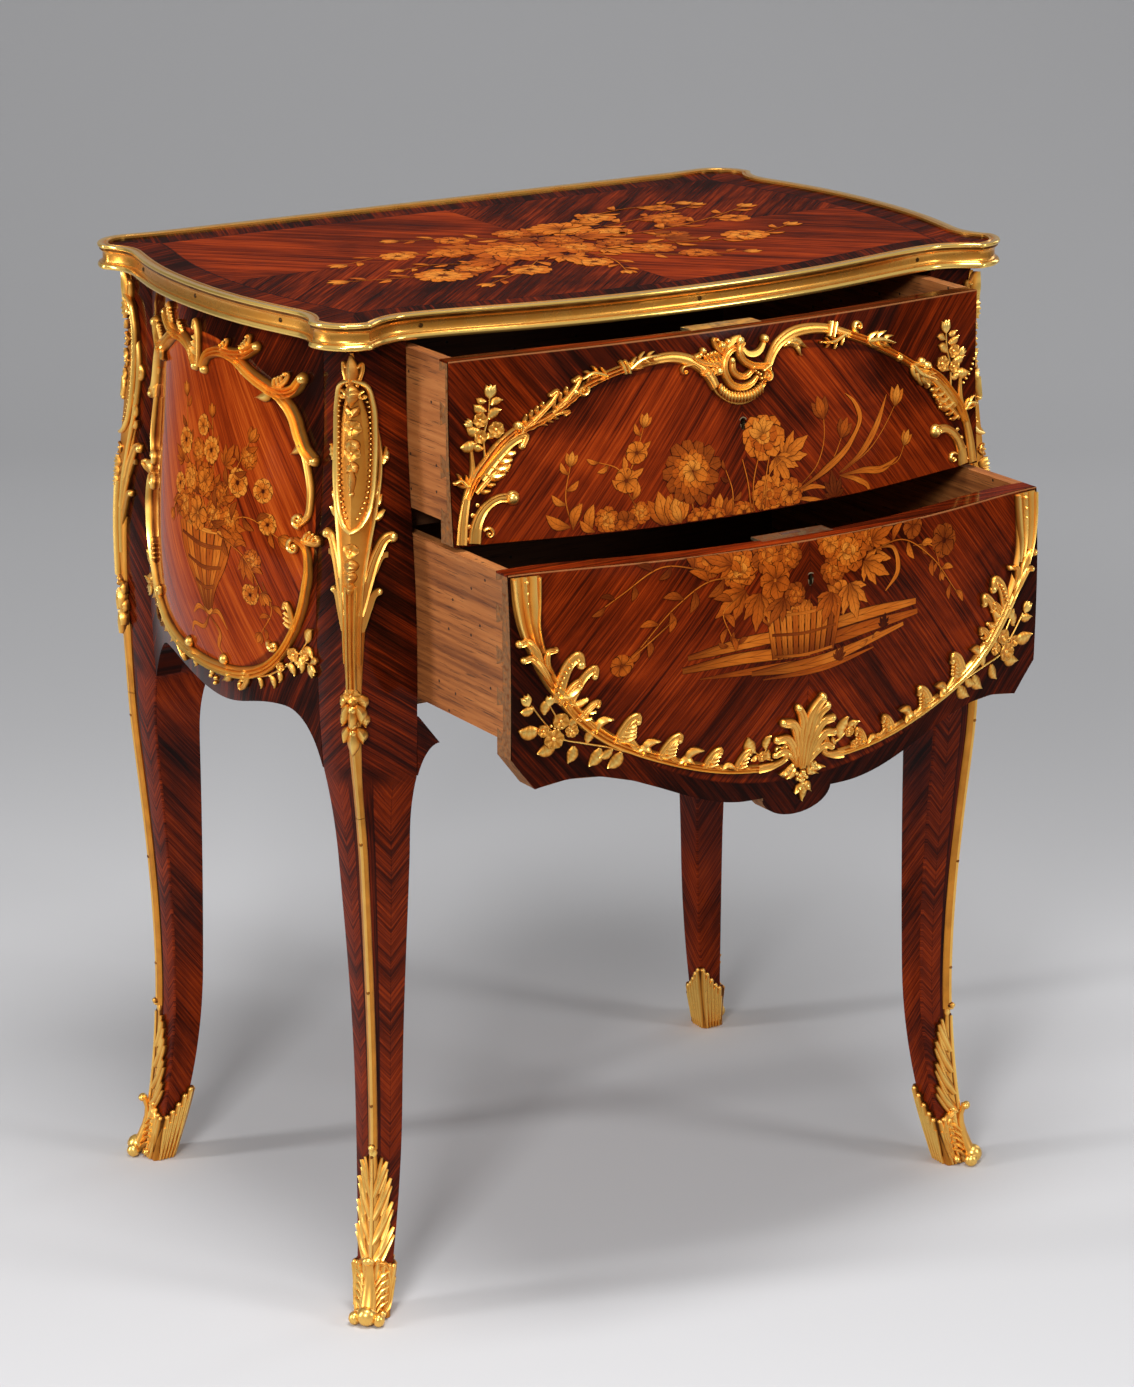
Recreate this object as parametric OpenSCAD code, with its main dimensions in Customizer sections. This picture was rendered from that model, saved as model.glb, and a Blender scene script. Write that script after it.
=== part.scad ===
// A small commode with two drawers, swelling sides, curved legs and gilt mounts.
// Millimetres. X runs to the right, Y to the back, Z up, and the feet stand on Z = 0.
// Plan sizes are measured from the middle of the carcass, and seated() then moves the
// whole chest to the row origin, so that its outline is centred there.

/* [Overall] */
// Height over the gilt rim
height = 770; // [700:1:840]
// Half width of the carcass at the top of a corner arris
corner_x = 275; // [250:1:310]
// Half depth of the carcass at the top of a corner arris
corner_y = 176; // [165:1:200]
// How far the upper drawer stands open
upper_open = 58; // [0:1:180]
// How far the lower drawer stands open
lower_open = 131; // [0:1:180]

/* [Top] */
// Thickness of the oak top board
top_board_t = 17; // [14:0.5:24]
// Thickness of the marquetry veneer on the top
veneer_t = 1; // [0.8:0.1:2]
// Height of the gilt rim
rim_height = 19; // [16:0.5:24]
// How far the rim stands above the veneer
rim_lip = 2; // [1:0.25:4]
// Depth of the rim from its outer edge to the board
rim_depth = 7; // [6:0.25:9]
// Radius of a rounded ear at a corner of the rim
ear_radius = 33; // [31:0.5:35]
// How far the middle of an ear lies inside the arris, across
ear_in = 5; // [3:0.5:8]
// How far the middle of a front ear lies behind the front arris
ear_front_in = 12; // [9:0.5:15]
// How far the middle of a back ear lies in front of the back arris
ear_back_in = 9; // [7:0.5:12]
// Length over which the rim sweeps out to an ear
ear_sweep = 36; // [28:1:42]
// How far the rim stands in front of the arris beside a corner
rim_front_out = 6; // [2:0.5:12]
// How far the rim stands outside the arris beside a corner
rim_side_out = 15; // [12:0.5:20]
// How far the rim stands behind the arris
rim_back_out = 21; // [18:0.5:26]
// Forward bow of the rim
rim_bow = 30; // [16:1:40]
// Sideways swell of the rim
rim_swell = 22; // [12:1:32]
// Height of the round moulding at the foot of the rim
rim_torus = 4; // [3:0.5:5]
// Height of the bead at the top of the rim
rim_bead = 4.5; // [3.5:0.5:5.5]
// Depth of the hollow round the rim
rim_hollow = 4; // [3:0.5:5]
// Diameter of a rim screw
rim_screw_d = 3; // [2:0.25:4]
// Length of a rim screw
rim_screw_len = 16; // [12:1:24]

/* [Carcass] */
// Width of a corner post across the front
post_w = 42; // [36:1:50]
// Depth of a corner post along the side
post_d = 40; // [32:1:48]
// How far the front face of a post stands proud of its arris
face_rise = 4; // [2:0.5:7]
// How far the side face of a post stands proud of its arris
side_rise = 1; // [0:0.5:4]
// Thickness of a side panel at its edges
panel_t = 14; // [10:1:20]
// Thickness of the back panel
back_t = 12; // [8:1:16]
// How far the back panel is set in from the back arris
back_inset = 6; // [4:0.5:12]
// Thickness of the bottom board
floor_t = 11.5; // [8:0.5:16]
// Thickness of the rail between the drawers
rail_t = 18.5; // [14:0.5:24]
// Thickness of the dust board between the drawers
dust_t = 6; // [4:0.5:10]
// Width of a drawer runner inside the posts
runner_w = 18; // [12:1:30]
// Height of a drawer guide above its runner
guide_h = 22; // [12:1:34]

/* [Shape of the front and sides] */
// Bow of the front at its fullest
front_bow = 34; // [20:1:42]
// Bow of the front at the top
front_bow_top = 14; // [8:1:20]
// Bow of the front at the foot of the apron
front_bow_foot = 20; // [12:1:30]
// Height at which the front is fullest
front_belly_z = 570; // [550:5:600]
// Swell of a side at its fullest
side_swell = 32; // [20:1:40]
// Swell of a side at the top
side_swell_top = 25; // [12:1:30]
// Swell of a side at the foot of its apron
side_swell_foot = 12; // [6:1:24]
// Height at which a side is fullest
side_belly_z = 600; // [570:5:630]

/* [Legs] */
// How far the arris swings out at the foot
toe_out = 11; // [6:0.5:16]
// How far the arris swings in at the ankle
ankle_in = 8; // [4:0.5:12]
// How far the legs stand apart, forward and back, below the carcass
leg_spread = 6; // [0:0.5:9]
// How far the arris swings out at the belly
belly_out = 14.5; // [8:0.5:18]
// Height of the ankle
ankle_z = 170; // [140:5:200]
// Height of the belly of the arris
belly_z = 530; // [500:5:560]
// Height at which the arris is back in line under the top
shoulder_z = 710; // [690:5:730]
// Height of the knee, where the side arches run out into the legs
knee_z = 360; // [340:5:375]
// How much narrower a leg is than its post at the knee, across the front
knee_in_x = 7; // [4:0.5:10]
// How much narrower a leg is than its post at the knee, along the side
knee_in_y = 12; // [6:0.5:16]
// Taper of a leg from knee to foot, across the front
leg_taper = 8.5; // [4:0.5:11]
// Taper of a leg from knee to foot, along the side
leg_taper_side = 6; // [2:0.5:9]
// How far the inner face of a foot kicks out, across the front
kick_x = 18.5; // [12:0.5:20]
// How far the inner face of a foot kicks out, along the side
kick_y = 17; // [10:0.5:18]

/* [Aprons] */
// Depth of the apron tip below the bottom board
tip_drop = 24.5; // [18:0.5:30]
// Width of the apron tip inside the post
tip_w = 19; // [14:0.5:24]
// Height of the front arch over the apron tip
arch_rise = 4.5; // [2:0.5:8]
// Depth of the front apron below its arches
apron_dip = 39; // [28:1:46]
// Depth of the round pendant below the apron
pendant_drop = 18; // [10:1:22]
// Half width of the round pendant
pendant_r = 30; // [22:1:36]
// Height at which a front bracket runs out into the leg
bracket_foot_z = 380; // [365:1:395]
// Thickness of a front bracket
bracket_t = 18; // [14:1:22]
// Gap between the front apron and the brackets
apron_gap = 1.2; // [0.8:0.1:2]
// Depth of the side arch below the bottom board
side_arch_drop = 9; // [4:1:14]
// Width of the side bracket curve
side_bracket_w = 52; // [42:1:60]
// Depth of the side apron below its arches
side_dip = 16; // [8:1:24]

/* [Drawers] */
// Height of the sides of the upper drawer
upper_side_h = 117; // [100:1:124]
// Height of the sides of the lower drawer
lower_side_h = 122; // [104:1:126]
// Gap over the upper drawer
top_gap = 4; // [2:0.5:6]
// Gap over the lower drawer
head_gap = 1; // [0.6:0.1:2]
// Gap between the two drawer fronts
reveal = 3.5; // [2:0.5:6]
// Running gap under and beside a drawer
slide_gap = 0.5; // [0.3:0.1:0.8]
// Thickness of the upper front at the top of its ends
upper_front_t = 12; // [12:0.5:14]
// Thickness of the lower front at the top of its ends
lower_front_t = 16; // [14:0.5:18]
// Thickness of a drawer side
side_t = 10; // [8:0.5:13]
// Thickness of a drawer back
drawer_back_t = 9; // [7:0.5:12]
// How far a drawer back stands below the drawer sides
drawer_back_drop = 8; // [4:1:14]
// Thickness of a drawer bottom
bottom_t = 6; // [4:0.5:8]
// Height of a drawer bottom above the foot of the sides
bottom_lift = 3; // [2:0.5:6]
// Depth of the groove for a drawer bottom
groove = 4; // [3:0.5:6]
// Gap behind a closed drawer
back_gap = 4; // [2:0.5:8]
// Length of the dovetails into a front
tail_len = 8; // [6:0.5:9]
// Number of dovetails on a side of the upper drawer
upper_tails = 3; // [2:1:4]
// Number of dovetails on a side of the lower drawer
lower_tails = 4; // [3:1:5]

/* [Locks] */
// Half width of a lock plate
plate_half = 31; // [27:1:36]
// Half width of a lock case
case_half = 25; // [20:1:26]
// Thickness of a lock plate
plate_t = 2; // [1.5:0.25:3]
// Depth of a lock from front to back
lock_depth = 15; // [14:0.5:18]
// How far a lock is let into the back of its front
lock_in = 3; // [2:0.25:4]
// Depth of the case below its keyhole
case_below_key = 14; // [11:1:20]
// Depth of the upper keyhole below the top of its front
upper_key_drop = 67; // [50:1:75]
// Depth of the lower keyhole below the top of its front
lower_key_drop = 27; // [24:1:40]
// Width of a bolt
bolt_w = 16; // [12:1:20]
// Thickness of a bolt
bolt_t = 4; // [3:0.25:5]
// Height of a bolt
bolt_h = 20; // [16:1:24]
// Travel of a bolt
bolt_throw = 8; // [6:0.5:9]
// Clearance round a bolt
bolt_gap = 0.4; // [0.3:0.05:0.6]
// Radius of the round part of a keyhole
key_r = 2.6; // [2:0.1:3.5]
// Wall of a keyhole liner
liner_wall = 0.8; // [0.6:0.1:1.2]

/* [Gilt mounts] */
// Gap between a mount and the wood
mount_gap = 0.2; // [0.1:0.05:0.3]
// Thickness of a mount at its edges
mount_edge = 1; // [0.8:0.1:1.6]
// Relief of a corner mount
corner_relief = 9; // [5:0.5:12]
// Height at which a corner mount ends
corner_mount_end = 402; // [392:1:420]
// Half width of the rib on a leg
rib_w = 4.5; // [3:0.25:6]
// Relief of the rib on a leg
rib_relief = 2.5; // [1.5:0.25:4]
// Height of a foot mount up to the tip of its leaf
sabot_leaf_z = 136; // [110:1:150]
// Height of the cup of a foot mount
sabot_cup_z = 50; // [40:1:60]
// Wall of the cup of a foot mount
sabot_wall = 2; // [1.5:0.25:3]
// Thickness of the sole of a foot mount
sole_t = 3; // [2:0.5:5]
// Radius of the scroll at a toe
toe_r = 8.5; // [6:0.5:10]
// How far the toe scroll stands beyond the arris
toe_reach = 6; // [4:0.5:9]
// Half width of the frame round a side field
side_frame_w = 6; // [4:0.5:8]
// Relief of the frame round a side field
side_frame_relief = 7; // [4:0.5:10]
// Half width of the arms on the drawer fronts
arm_w = 6.5; // [4:0.5:9]
// Relief of the arms on the drawer fronts
arm_relief = 7; // [4:0.5:10]
// Relief of the cartouche and of the shell
boss_relief = 10; // [6:0.5:13]

/* [Hidden] */
$fn = 40;

// Colours
kingwood = "#4f1e12";
kingwood_dark = "#3a150f";
oak = "#9a6d48";
gilt = "#cf9c3c";
brass = "#b08d4a";
steel = "#8d8f93";

// Levels, worked down from the rim
board_top = height - rim_lip - veneer_t;
board_z = board_top - top_board_t;
rim_z = height - rim_height;
upper_top = board_z - top_gap;
upper_base = upper_top - upper_side_h;
rail_top = upper_base - slide_gap;
rail_base = rail_top - rail_t;
lower_top = rail_base - head_gap;
lower_base = lower_top - lower_side_h;
floor_top = lower_base - slide_gap;
floor_base = floor_top - floor_t;
upper_front_base = lower_top + reveal;
tip_z = floor_base - tip_drop;
apron_z = tip_z + arch_rise - apron_dip;
side_arch_z = floor_base - side_arch_drop;

// Plan positions
post_in_x = corner_x - post_w;
post_in_y = corner_y - post_d;
panel_in_x = corner_x + side_rise - panel_t;
back_y = corner_y - back_inset;
back_in_y = back_y - back_t;
drawer_half = post_in_x - slide_gap;
tip_x = post_in_x - tip_w;
bow_span = post_in_x + 7;
side_span = post_in_y + 4;
inner_span = drawer_half - side_t - 4;
upper_in_y = corner_y + face_rise - upper_front_t;
lower_in_y = front_edge(lower_top) - lower_front_t;
box_end_y = back_in_y - back_gap;
ear_x = corner_x - ear_in;
ear_front = corner_y - ear_front_in;
ear_back = corner_y - ear_back_in;
toe_x = corner_x + lean_x(0) + toe_reach / sqrt(2);
toe_y = corner_y + lean_y(0) + toe_reach / sqrt(2);
toe_half = 1.3 * toe_r;

// How full a swelling is at the fraction t of its half span
function swelling(t) = t >= 1 ? 0 : (1 - t * t) * (1 - pow(t, 4));

// Smooth step from one extreme to the next
function ease(t) = (1 - cos(180 * min(max(t, 0), 1))) / 2;
function between(z, z0, z1, a, b) = a + (b - a) * ease((z - z0) / (z1 - z0));

// Swing of the corner arris along its diagonal, and what it comes to along X and along Y
function kick(z) = z < ankle_z ? pow(1 - z / ankle_z, 2) : 0;
function swing(z) =
    z < ankle_z ? (toe_out + ankle_in) * kick(z) - ankle_in
    : z < belly_z ? between(z, ankle_z, belly_z, -ankle_in, belly_out)
    : between(z, belly_z, shoulder_z, belly_out, 0);
function lean_x(z) = swing(z) / sqrt(2);
function lean_y(z) = lean_x(z) + between(z, knee_z, side_arch_z, leg_spread, 0);

// Bow of the front and swell of the sides at a height
function fullness(z, top, most, foot, peak_z, foot_z) =
    z > peak_z ? most - (most - top) * pow((z - peak_z) / (board_z - peak_z), 2)
    : most - (most - foot) * pow((peak_z - z) / (peak_z - foot_z), 2);
function bow(z) =
    fullness(z, front_bow_top, front_bow, front_bow_foot, front_belly_z, apron_z);
function swell(z) =
    fullness(z, side_swell_top, side_swell, side_swell_foot, side_belly_z, side_arch_z - side_dip);

// Outer faces of the front and of a side, and the inner face of a drawer front
function front_edge(z) = corner_y + face_rise + lean_y(z);
function front_y(x, z) = front_edge(z) + bow(z) * swelling(abs(x) / bow_span);
function inner_y(x, z, in_y) = in_y + bow(z) * swelling(abs(x) / inner_span);
function inner_least(x, low_z, high_z, in_y) = min(inner_y(x, low_z, in_y), inner_y(x, high_z, in_y));
function side_edge(z) = corner_x + side_rise + lean_x(z);
function side_x(y, z) = side_edge(z) + swell(z) * swelling(abs(y) / side_span);

// Lower edge of the front apron
function apron_edge(x) =
    let (a = abs(x), arch_x = tip_x - 33)
    a < pendant_r ? apron_z - pendant_drop * sqrt(1 - pow(a / pendant_r, 2))
    : a < arch_x ? between(a, pendant_r + 10, arch_x, apron_z, tip_z + arch_rise)
    : a < tip_x ? tip_z + arch_rise * (1 - pow((a - arch_x) / (tip_x - arch_x), 2))
    : tip_z + (a - tip_x) * tip_drop / tip_w;

// Inner edges of a leg across the front and along the side
leg_front_x = post_in_x + knee_in_x;
leg_side_y = post_in_y + knee_in_y;
bracket_top_z = tip_z - apron_gap;
bracket_turn = acos(1 - knee_in_x / (knee_in_x + tip_w));
bracket_base_z = bracket_foot_z + (bracket_top_z - bracket_foot_z) * sin(bracket_turn);
function quarter(z, from, to) = 1 - sqrt(max(0, 1 - pow((z - from) / (to - from), 2)));
function taper(z) = pow(max(0, knee_z - z) / knee_z, 2);
function bracket_x(z) = leg_front_x - (knee_in_x + tip_w) * quarter(z, bracket_foot_z, bracket_top_z);
function leg_in_x(z) =
    z > bracket_base_z ? post_in_x
    : z > bracket_foot_z ? bracket_x(z)
    : leg_front_x + leg_taper * taper(z) + kick_x * kick(z);
function side_curve_y(z) = leg_side_y - side_bracket_w * quarter(z, knee_z, side_arch_z);
function leg_in_y(z) =
    z > side_arch_z ? post_in_y
    : z > knee_z ? max(post_in_y, side_curve_y(z))
    : leg_side_y + leg_taper_side * taper(z) + kick_y * kick(z);

// Lower edge of a side apron
function side_apron_edge(y) =
    let (a = abs(y), flat_y = leg_side_y - side_bracket_w)
    a < flat_y ? between(a, 0, flat_y, side_arch_z - side_dip, side_arch_z)
    : knee_z + (side_arch_z - knee_z) * sqrt(1 - pow(1 - (leg_side_y - a) / side_bracket_w, 2));

// Outline of the rim and the top, set in from the rim's outer edge: a quarter circle at each
// ear, and between the ears curves that sweep out to meet them
function sweep(t) = t > 0 ? t * t : 0;
function swept(neck, ear_edge, to_ear) =
    neck + (ear_edge - neck) * sweep(1 - to_ear / ear_sweep);
function front_rim(x) =
    swept(corner_y + rim_front_out, ear_front + ear_radius, ear_x - abs(x))
    + rim_bow * swelling(abs(x) / bow_span);
function side_rim(y) =
    swept(corner_x + rim_side_out, ear_x + ear_radius, min(ear_front + y, ear_back - y))
    + rim_swell * swelling(abs(y) / ear_front);
function back_rim(x) = swept(corner_y + rim_back_out, ear_back + ear_radius, ear_x - abs(x));
function run(from, to, steps) = [for (i = [1:steps]) from + (to - from) * i / steps];

// Places across a swelling face, closer towards its ends, where it turns most
face_steps = 10;
face_run = [for (i = [-face_steps:face_steps]) sin(90 * i / face_steps)];
function ear(mid_y, set_in, from) = [
    for (a = run(from, from + 90, 8))
        [ear_x + (ear_radius - set_in) * cos(a), mid_y + (ear_radius - set_in) * sin(a)]
];
function outline_half(set_in) =
    let (
        neck_x = ear_x - ear_sweep,
        neck_y = ear_sweep - ear_front,
        nape_y = ear_back - ear_sweep,
        side_y = concat(run(-ear_front, neck_y, 4), run(neck_y, nape_y, 8), run(nape_y, ear_back, 4))
    )
    concat(
        [for (x = concat(0, run(0, neck_x, 9), run(neck_x, ear_x, 4))) [x, set_in - front_rim(x)]],
        ear(-ear_front, set_in, -90),
        [for (y = side_y) [side_rim(y) - set_in, y]],
        ear(ear_back, set_in, 0),
        [for (x = concat(run(ear_x, neck_x, 4), 0)) [x, back_rim(x) - set_in]]
    );
function outline(set_in) =
    let (half = outline_half(set_in), n = len(half))
    concat(half, [for (i = [n - 2:-1:1]) [-half[i][0], half[i][1]]]);

// A solid lofted through rings of points, the first ring highest, each ring anticlockwise
module loft(rings, ring_closed = false) {
    n = len(rings);
    m = len(rings[0]);
    last = ring_closed ? n - 1 : n - 2;
    walls = [
        for (i = [0:last], k = [0:m - 1])
            let (
                a = i * m + k,
                b = i * m + (k + 1) % m,
                c = ((i + 1) % n) * m + (k + 1) % m,
                d = ((i + 1) % n) * m + k
            )
            each [[a, b, c], [a, c, d]]
    ];
    caps = ring_closed ? [] : [[for (k = [m - 1:-1:0]) k], [for (k = [0:m - 1]) (n - 1) * m + k]];
    polyhedron([for (r = rings) each r], concat(walls, caps), convexity = 10);
}

// A solid between two grids of points, the outer one and the inner one behind it
module pad(outer, inner, loop = false) {
    n = len(outer);
    m = len(outer[0]);
    o = n * m;
    last = loop ? n - 1 : n - 2;
    skins = [
        for (i = [0:last], k = [0:m - 2])
            let (a = i * m + k, d = ((i + 1) % n) * m + k)
            each [
                [a, a + 1, d + 1], [a, d + 1, d],
                [o + a, o + d + 1, o + a + 1], [o + a, o + d, o + d + 1]
            ]
    ];
    edges = [
        for (i = [0:last])
            let (a = i * m, d = ((i + 1) % n) * m, e = a + m - 1, f = d + m - 1)
            each [[a, d, o + d], [a, o + d, o + a], [f, e, o + e], [f, o + e, o + f]]
    ];
    ends = loop ? [] : [
        for (k = [0:m - 2])
            let (z = (n - 1) * m)
            each [
                [k + 1, k, o + k], [k + 1, o + k, o + k + 1],
                [z + k, z + k + 1, o + z + k + 1], [z + k, o + z + k + 1, o + z + k]
            ]
    ];
    points = concat([for (r = outer) each r], [for (r = inner) each r]);
    polyhedron(points, concat(skins, edges, ends), convexity = 10);
}

// The whole chest moved so that its outline is centred on the row origin
front_reach = lower_open + front_y(0, front_belly_z) + boss_relief / 2;
back_reach = toe_y + (toe_r + toe_half) / sqrt(2);
mid_y = (front_reach - back_reach) / 2;
module seated() {
    translate([0, mid_y, 0]) children();
}

module pulled(out) {
    translate([0, -out, 0]) children();
}

// What is drawn at the back right corner, moved to any corner
module at_corner(side, depth) {
    mirror([side < 0 ? 1 : 0, 0, 0]) mirror([0, depth < 0 ? 1 : 0, 0]) children();
}

module at_side(side) {
    mirror([side < 0 ? 1 : 0, 0, 0]) children();
}

// Corner post and leg
leg_foot = sole_t;
leg_levels = concat(
    leg_foot, run(leg_foot, sabot_cup_z, 4), run(sabot_cup_z, ankle_z, 7),
    run(ankle_z, bracket_foot_z, 11), run(bracket_foot_z, bracket_base_z, 4),
    run(bracket_base_z, side_arch_z, 3), run(side_arch_z, board_z, 14)
);
function leg_ring(z, grow = 0) =
    let (
        rise = ease((z - ankle_z) / (tip_z - ankle_z)),
        ax = corner_x + lean_x(z),
        ay = corner_y + lean_y(z)
    )
    [
        [ax + grow, ay + grow, z],
        [leg_in_x(z) - grow, ay + face_rise * rise + grow, z],
        [leg_in_x(z) - grow, leg_in_y(z) - grow, z],
        [ax + side_rise * rise + grow, leg_in_y(z) - grow, z]
    ];
module leg(side, depth) {
    color(kingwood) at_corner(side, depth)
        loft([for (i = [len(leg_levels) - 1:-1:0]) leg_ring(leg_levels[i])]);
}

// Curved bracket between a front leg and the apron
function bracket_in_x(z) =
    z > bracket_top_z ? tip_x + (z - bracket_top_z) * tip_w / tip_drop : bracket_x(z);
module bracket(side) {
    curve = [for (a = run(bracket_turn, 90, 8)) bracket_foot_z + (bracket_top_z - bracket_foot_z) * sin(a)];
    levels = concat(
        [for (i = [3:-1:1]) bracket_top_z + 0.3 * tip_drop * i],
        [for (i = [len(curve) - 1:-1:0]) curve[i]]
    );
    color(kingwood) at_side(side) mirror([0, 1, 0])
        loft([
            for (z = levels)
                let (x = bracket_in_x(z), y = front_edge(z))
                [
                    [post_in_x, y, z], [x, y, z],
                    [x, y - bracket_t, z], [post_in_x, y - bracket_t, z]
                ]
        ]);
}

// Swelling side panel between two posts
panel_columns = 24;
panel_rows = 12;
module side_panel(side) {
    columns = [for (i = [0:panel_columns]) post_in_y * (2 * i / panel_columns - 1)];
    function level(y, k) =
        let (foot = side_apron_edge(y)) foot + (board_z - foot) * k / panel_rows;
    color(kingwood) at_side(side)
        pad(
            [for (y = columns) [for (k = [0:panel_rows]) [side_x(y, level(y, k)), y, level(y, k)]]],
            [for (y = columns) [for (k = [0:panel_rows]) [panel_in_x, y, level(y, k)]]]
        );
}

module back_panel() {
    color(oak)
        translate([-post_in_x, back_in_y, floor_base])
            cube([2 * post_in_x, back_t, board_z - floor_base]);
}

// Plan of a board that fills the carcass behind the line front_line
module inside_plan(front_line, back_line) {
    polygon([
        [-post_in_x, -front_line], [post_in_x, -front_line],
        [post_in_x, -post_in_y], [panel_in_x, -post_in_y],
        [panel_in_x, post_in_y], [post_in_x, post_in_y],
        [post_in_x, back_line], [-post_in_x, back_line],
        [-post_in_x, post_in_y], [-panel_in_x, post_in_y],
        [-panel_in_x, -post_in_y], [-post_in_x, -post_in_y]
    ]);
}

module bottom_board() {
    color(oak)
        translate([0, 0, floor_base])
            linear_extrude(floor_t) inside_plan(lower_in_y - slide_gap, back_in_y);
}

// Rail behind the foot of the upper front, mortised for the bolt of the lower drawer
module mid_rail() {
    front = [
        for (t = face_run)
            let (x = post_in_x * t)
            [x, slide_gap - inner_least(x, upper_front_base, rail_top, upper_in_y)]
    ];
    color(oak) difference() {
        translate([0, 0, rail_base])
            linear_extrude(rail_t)
                polygon(concat(front, [[post_in_x, -post_in_y], [-post_in_x, -post_in_y]]));
        bolt_mortise(lower_top, lower_in_y, rail_base);
    }
}

module dust_board() {
    half = post_in_x - runner_w;
    color(oak)
        translate([-half, -post_in_y, rail_base + (rail_t - dust_t) / 2])
            cube([2 * half, post_in_y + back_in_y, dust_t]);
}

// Runner of the upper drawer with the guide that keeps the drawer in line
module upper_runner(side) {
    color(oak) at_side(side) {
        translate([0, 0, rail_base])
            linear_extrude(rail_t)
                polygon([
                    [post_in_x - runner_w, -post_in_y], [panel_in_x, -post_in_y],
                    [panel_in_x, post_in_y], [post_in_x, post_in_y],
                    [post_in_x, back_in_y], [post_in_x - runner_w, back_in_y]
                ]);
        guide(rail_top);
    }
}

module lower_guide(side) {
    color(oak) at_side(side) guide(floor_top);
}

module guide(base) {
    translate([post_in_x, -post_in_y, base])
        cube([panel_in_x - post_in_x, 2 * post_in_y, guide_h]);
}

// Top board, its veneer, the gilt rim and its screws
module top_board() {
    color(oak) difference() {
        translate([0, 0, board_z]) linear_extrude(top_board_t) polygon(outline(rim_depth));
        bolt_mortise(upper_top, upper_in_y, board_z);
        rim_screw_places() translate([0, 0, -rim_screw_len]) cylinder(d = rim_screw_d, h = rim_screw_len);
    }
}

module top_veneer() {
    color(kingwood_dark)
        translate([0, 0, board_top])
            linear_extrude(veneer_t) polygon(outline(rim_depth + rim_cover + mount_gap / 2));
}

rim_cover = 1.5;
rim_round = 1.5;
rim_profile = [
    [rim_depth, 0], [rim_round, 0], [0, rim_torus / 2], [rim_round / 2, rim_torus],
    [rim_hollow, rim_torus + rim_hollow], [rim_hollow, rim_height - rim_bead - rim_hollow],
    [rim_round, rim_height - rim_bead], [rim_round, rim_height - 0.6 * rim_bead],
    [0, rim_height - 0.3 * rim_bead], [rim_round / 2, rim_height],
    [rim_depth + rim_cover, rim_height],
    [rim_depth + rim_cover, rim_height - rim_lip - veneer_t + mount_gap],
    [rim_depth, rim_height - rim_lip - veneer_t + mount_gap]
];
module top_rim() {
    layers = [for (p = rim_profile) outline(p[0])];
    color(gilt) difference() {
        loft([
            for (i = [len(layers[0]) - 1:-1:0])
                [for (k = [0:len(rim_profile) - 1])
                    [layers[k][i][0], layers[k][i][1], rim_z + rim_profile[k][1]]]
        ], ring_closed = true);
        rim_screw_places() {
            translate([0, 0, -rim_screw_len]) cylinder(d = rim_screw_d, h = rim_screw_len);
            translate([0, 0, -head_in]) cylinder(d = rim_head_d, h = 2 * rim_hollow);
        }
    }
}

// Places of the rim screws: each looks out of the hollow of the rim, level with the board
screw_z = rim_z + (rim_torus + rim_height - rim_bead) / 2;
screw_x = 0.8 * corner_x;
screw_y = 0.62 * corner_y;
module rim_screw_places() {
    for (x = [-screw_x, 0, screw_x]) {
        translate([x, rim_hollow - front_rim(x), screw_z]) rotate([90, 0, 0]) children();
        translate([x, back_rim(x) - rim_hollow, screw_z]) rotate([-90, 0, 0]) children();
    }
    for (y = [-screw_y, 0, screw_y], s = [-1, 1])
        translate([s * (side_rim(y) - rim_hollow), y, screw_z]) rotate([0, s * 90, 0]) children();
}

// The head of each screw is let into the rim
rim_head_d = 1.5 * rim_screw_d;
head_in = 0.6;
module rim_screws() {
    fit = 0.1;
    head_t = 1;
    color(brass) rim_screw_places() {
        translate([0, 0, fit - rim_screw_len]) cylinder(d = rim_screw_d - 2 * fit, h = rim_screw_len);
        translate([0, 0, fit - head_in]) cylinder(d1 = rim_head_d - 2 * fit, d2 = rim_screw_d, h = head_t);
    }
}

// A gilt strip wrapped round the corner arris: widths and reliefs are looked up by height
wrap = [-1, -0.5, 0, 0.5, 1];
function wrapped(z, t, w, out) =
    let (
        ring = leg_ring(z),
        to = t < 0 ? ring[3] - ring[0] : ring[1] - ring[0],
        along = to / norm(to),
        turn = 45 + 45 * t,
        p = ring[0] + along * abs(t) * w
    )
    [p[0] + out * cos(turn), p[1] + out * sin(turn), z];
module arris_strip(levels, widths, reliefs) {
    pad(
        [for (z = levels) [
            for (t = wrap)
                wrapped(z, t, lookup(z, widths), mount_gap + mount_edge + lookup(z, reliefs) * (1 - t * t))
        ]],
        [for (z = levels) [for (t = wrap) wrapped(z, t, lookup(z, widths), mount_gap)]]
    );
}

corner_mount_top = board_z - 5;
husk_z = corner_mount_end + 56;
module corner_mount(side, depth) {
    steps = 26;
    widths = [
        [corner_mount_end, 3], [corner_mount_end + 18, 9], [corner_mount_end + 44, 6],
        [husk_z, 5], [belly_z - 20, 16], [belly_z + 20, 27], [belly_z + 55, 20],
        [belly_z + 100, 21], [shoulder_z - 25, 19], [shoulder_z + 10, 11], [corner_mount_top, 7]
    ];
    reliefs = [
        [corner_mount_end, 2], [corner_mount_end + 18, 5], [husk_z, 3],
        [belly_z, 0.8 * corner_relief], [belly_z + 70, corner_relief],
        [shoulder_z - 20, 0.7 * corner_relief], [corner_mount_top, 3]
    ];
    levels = [
        for (i = [0:steps]) corner_mount_top + (corner_mount_end - corner_mount_top) * i / steps
    ];
    color(gilt) at_corner(side, depth) arris_strip(levels, widths, reliefs);
}

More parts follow.
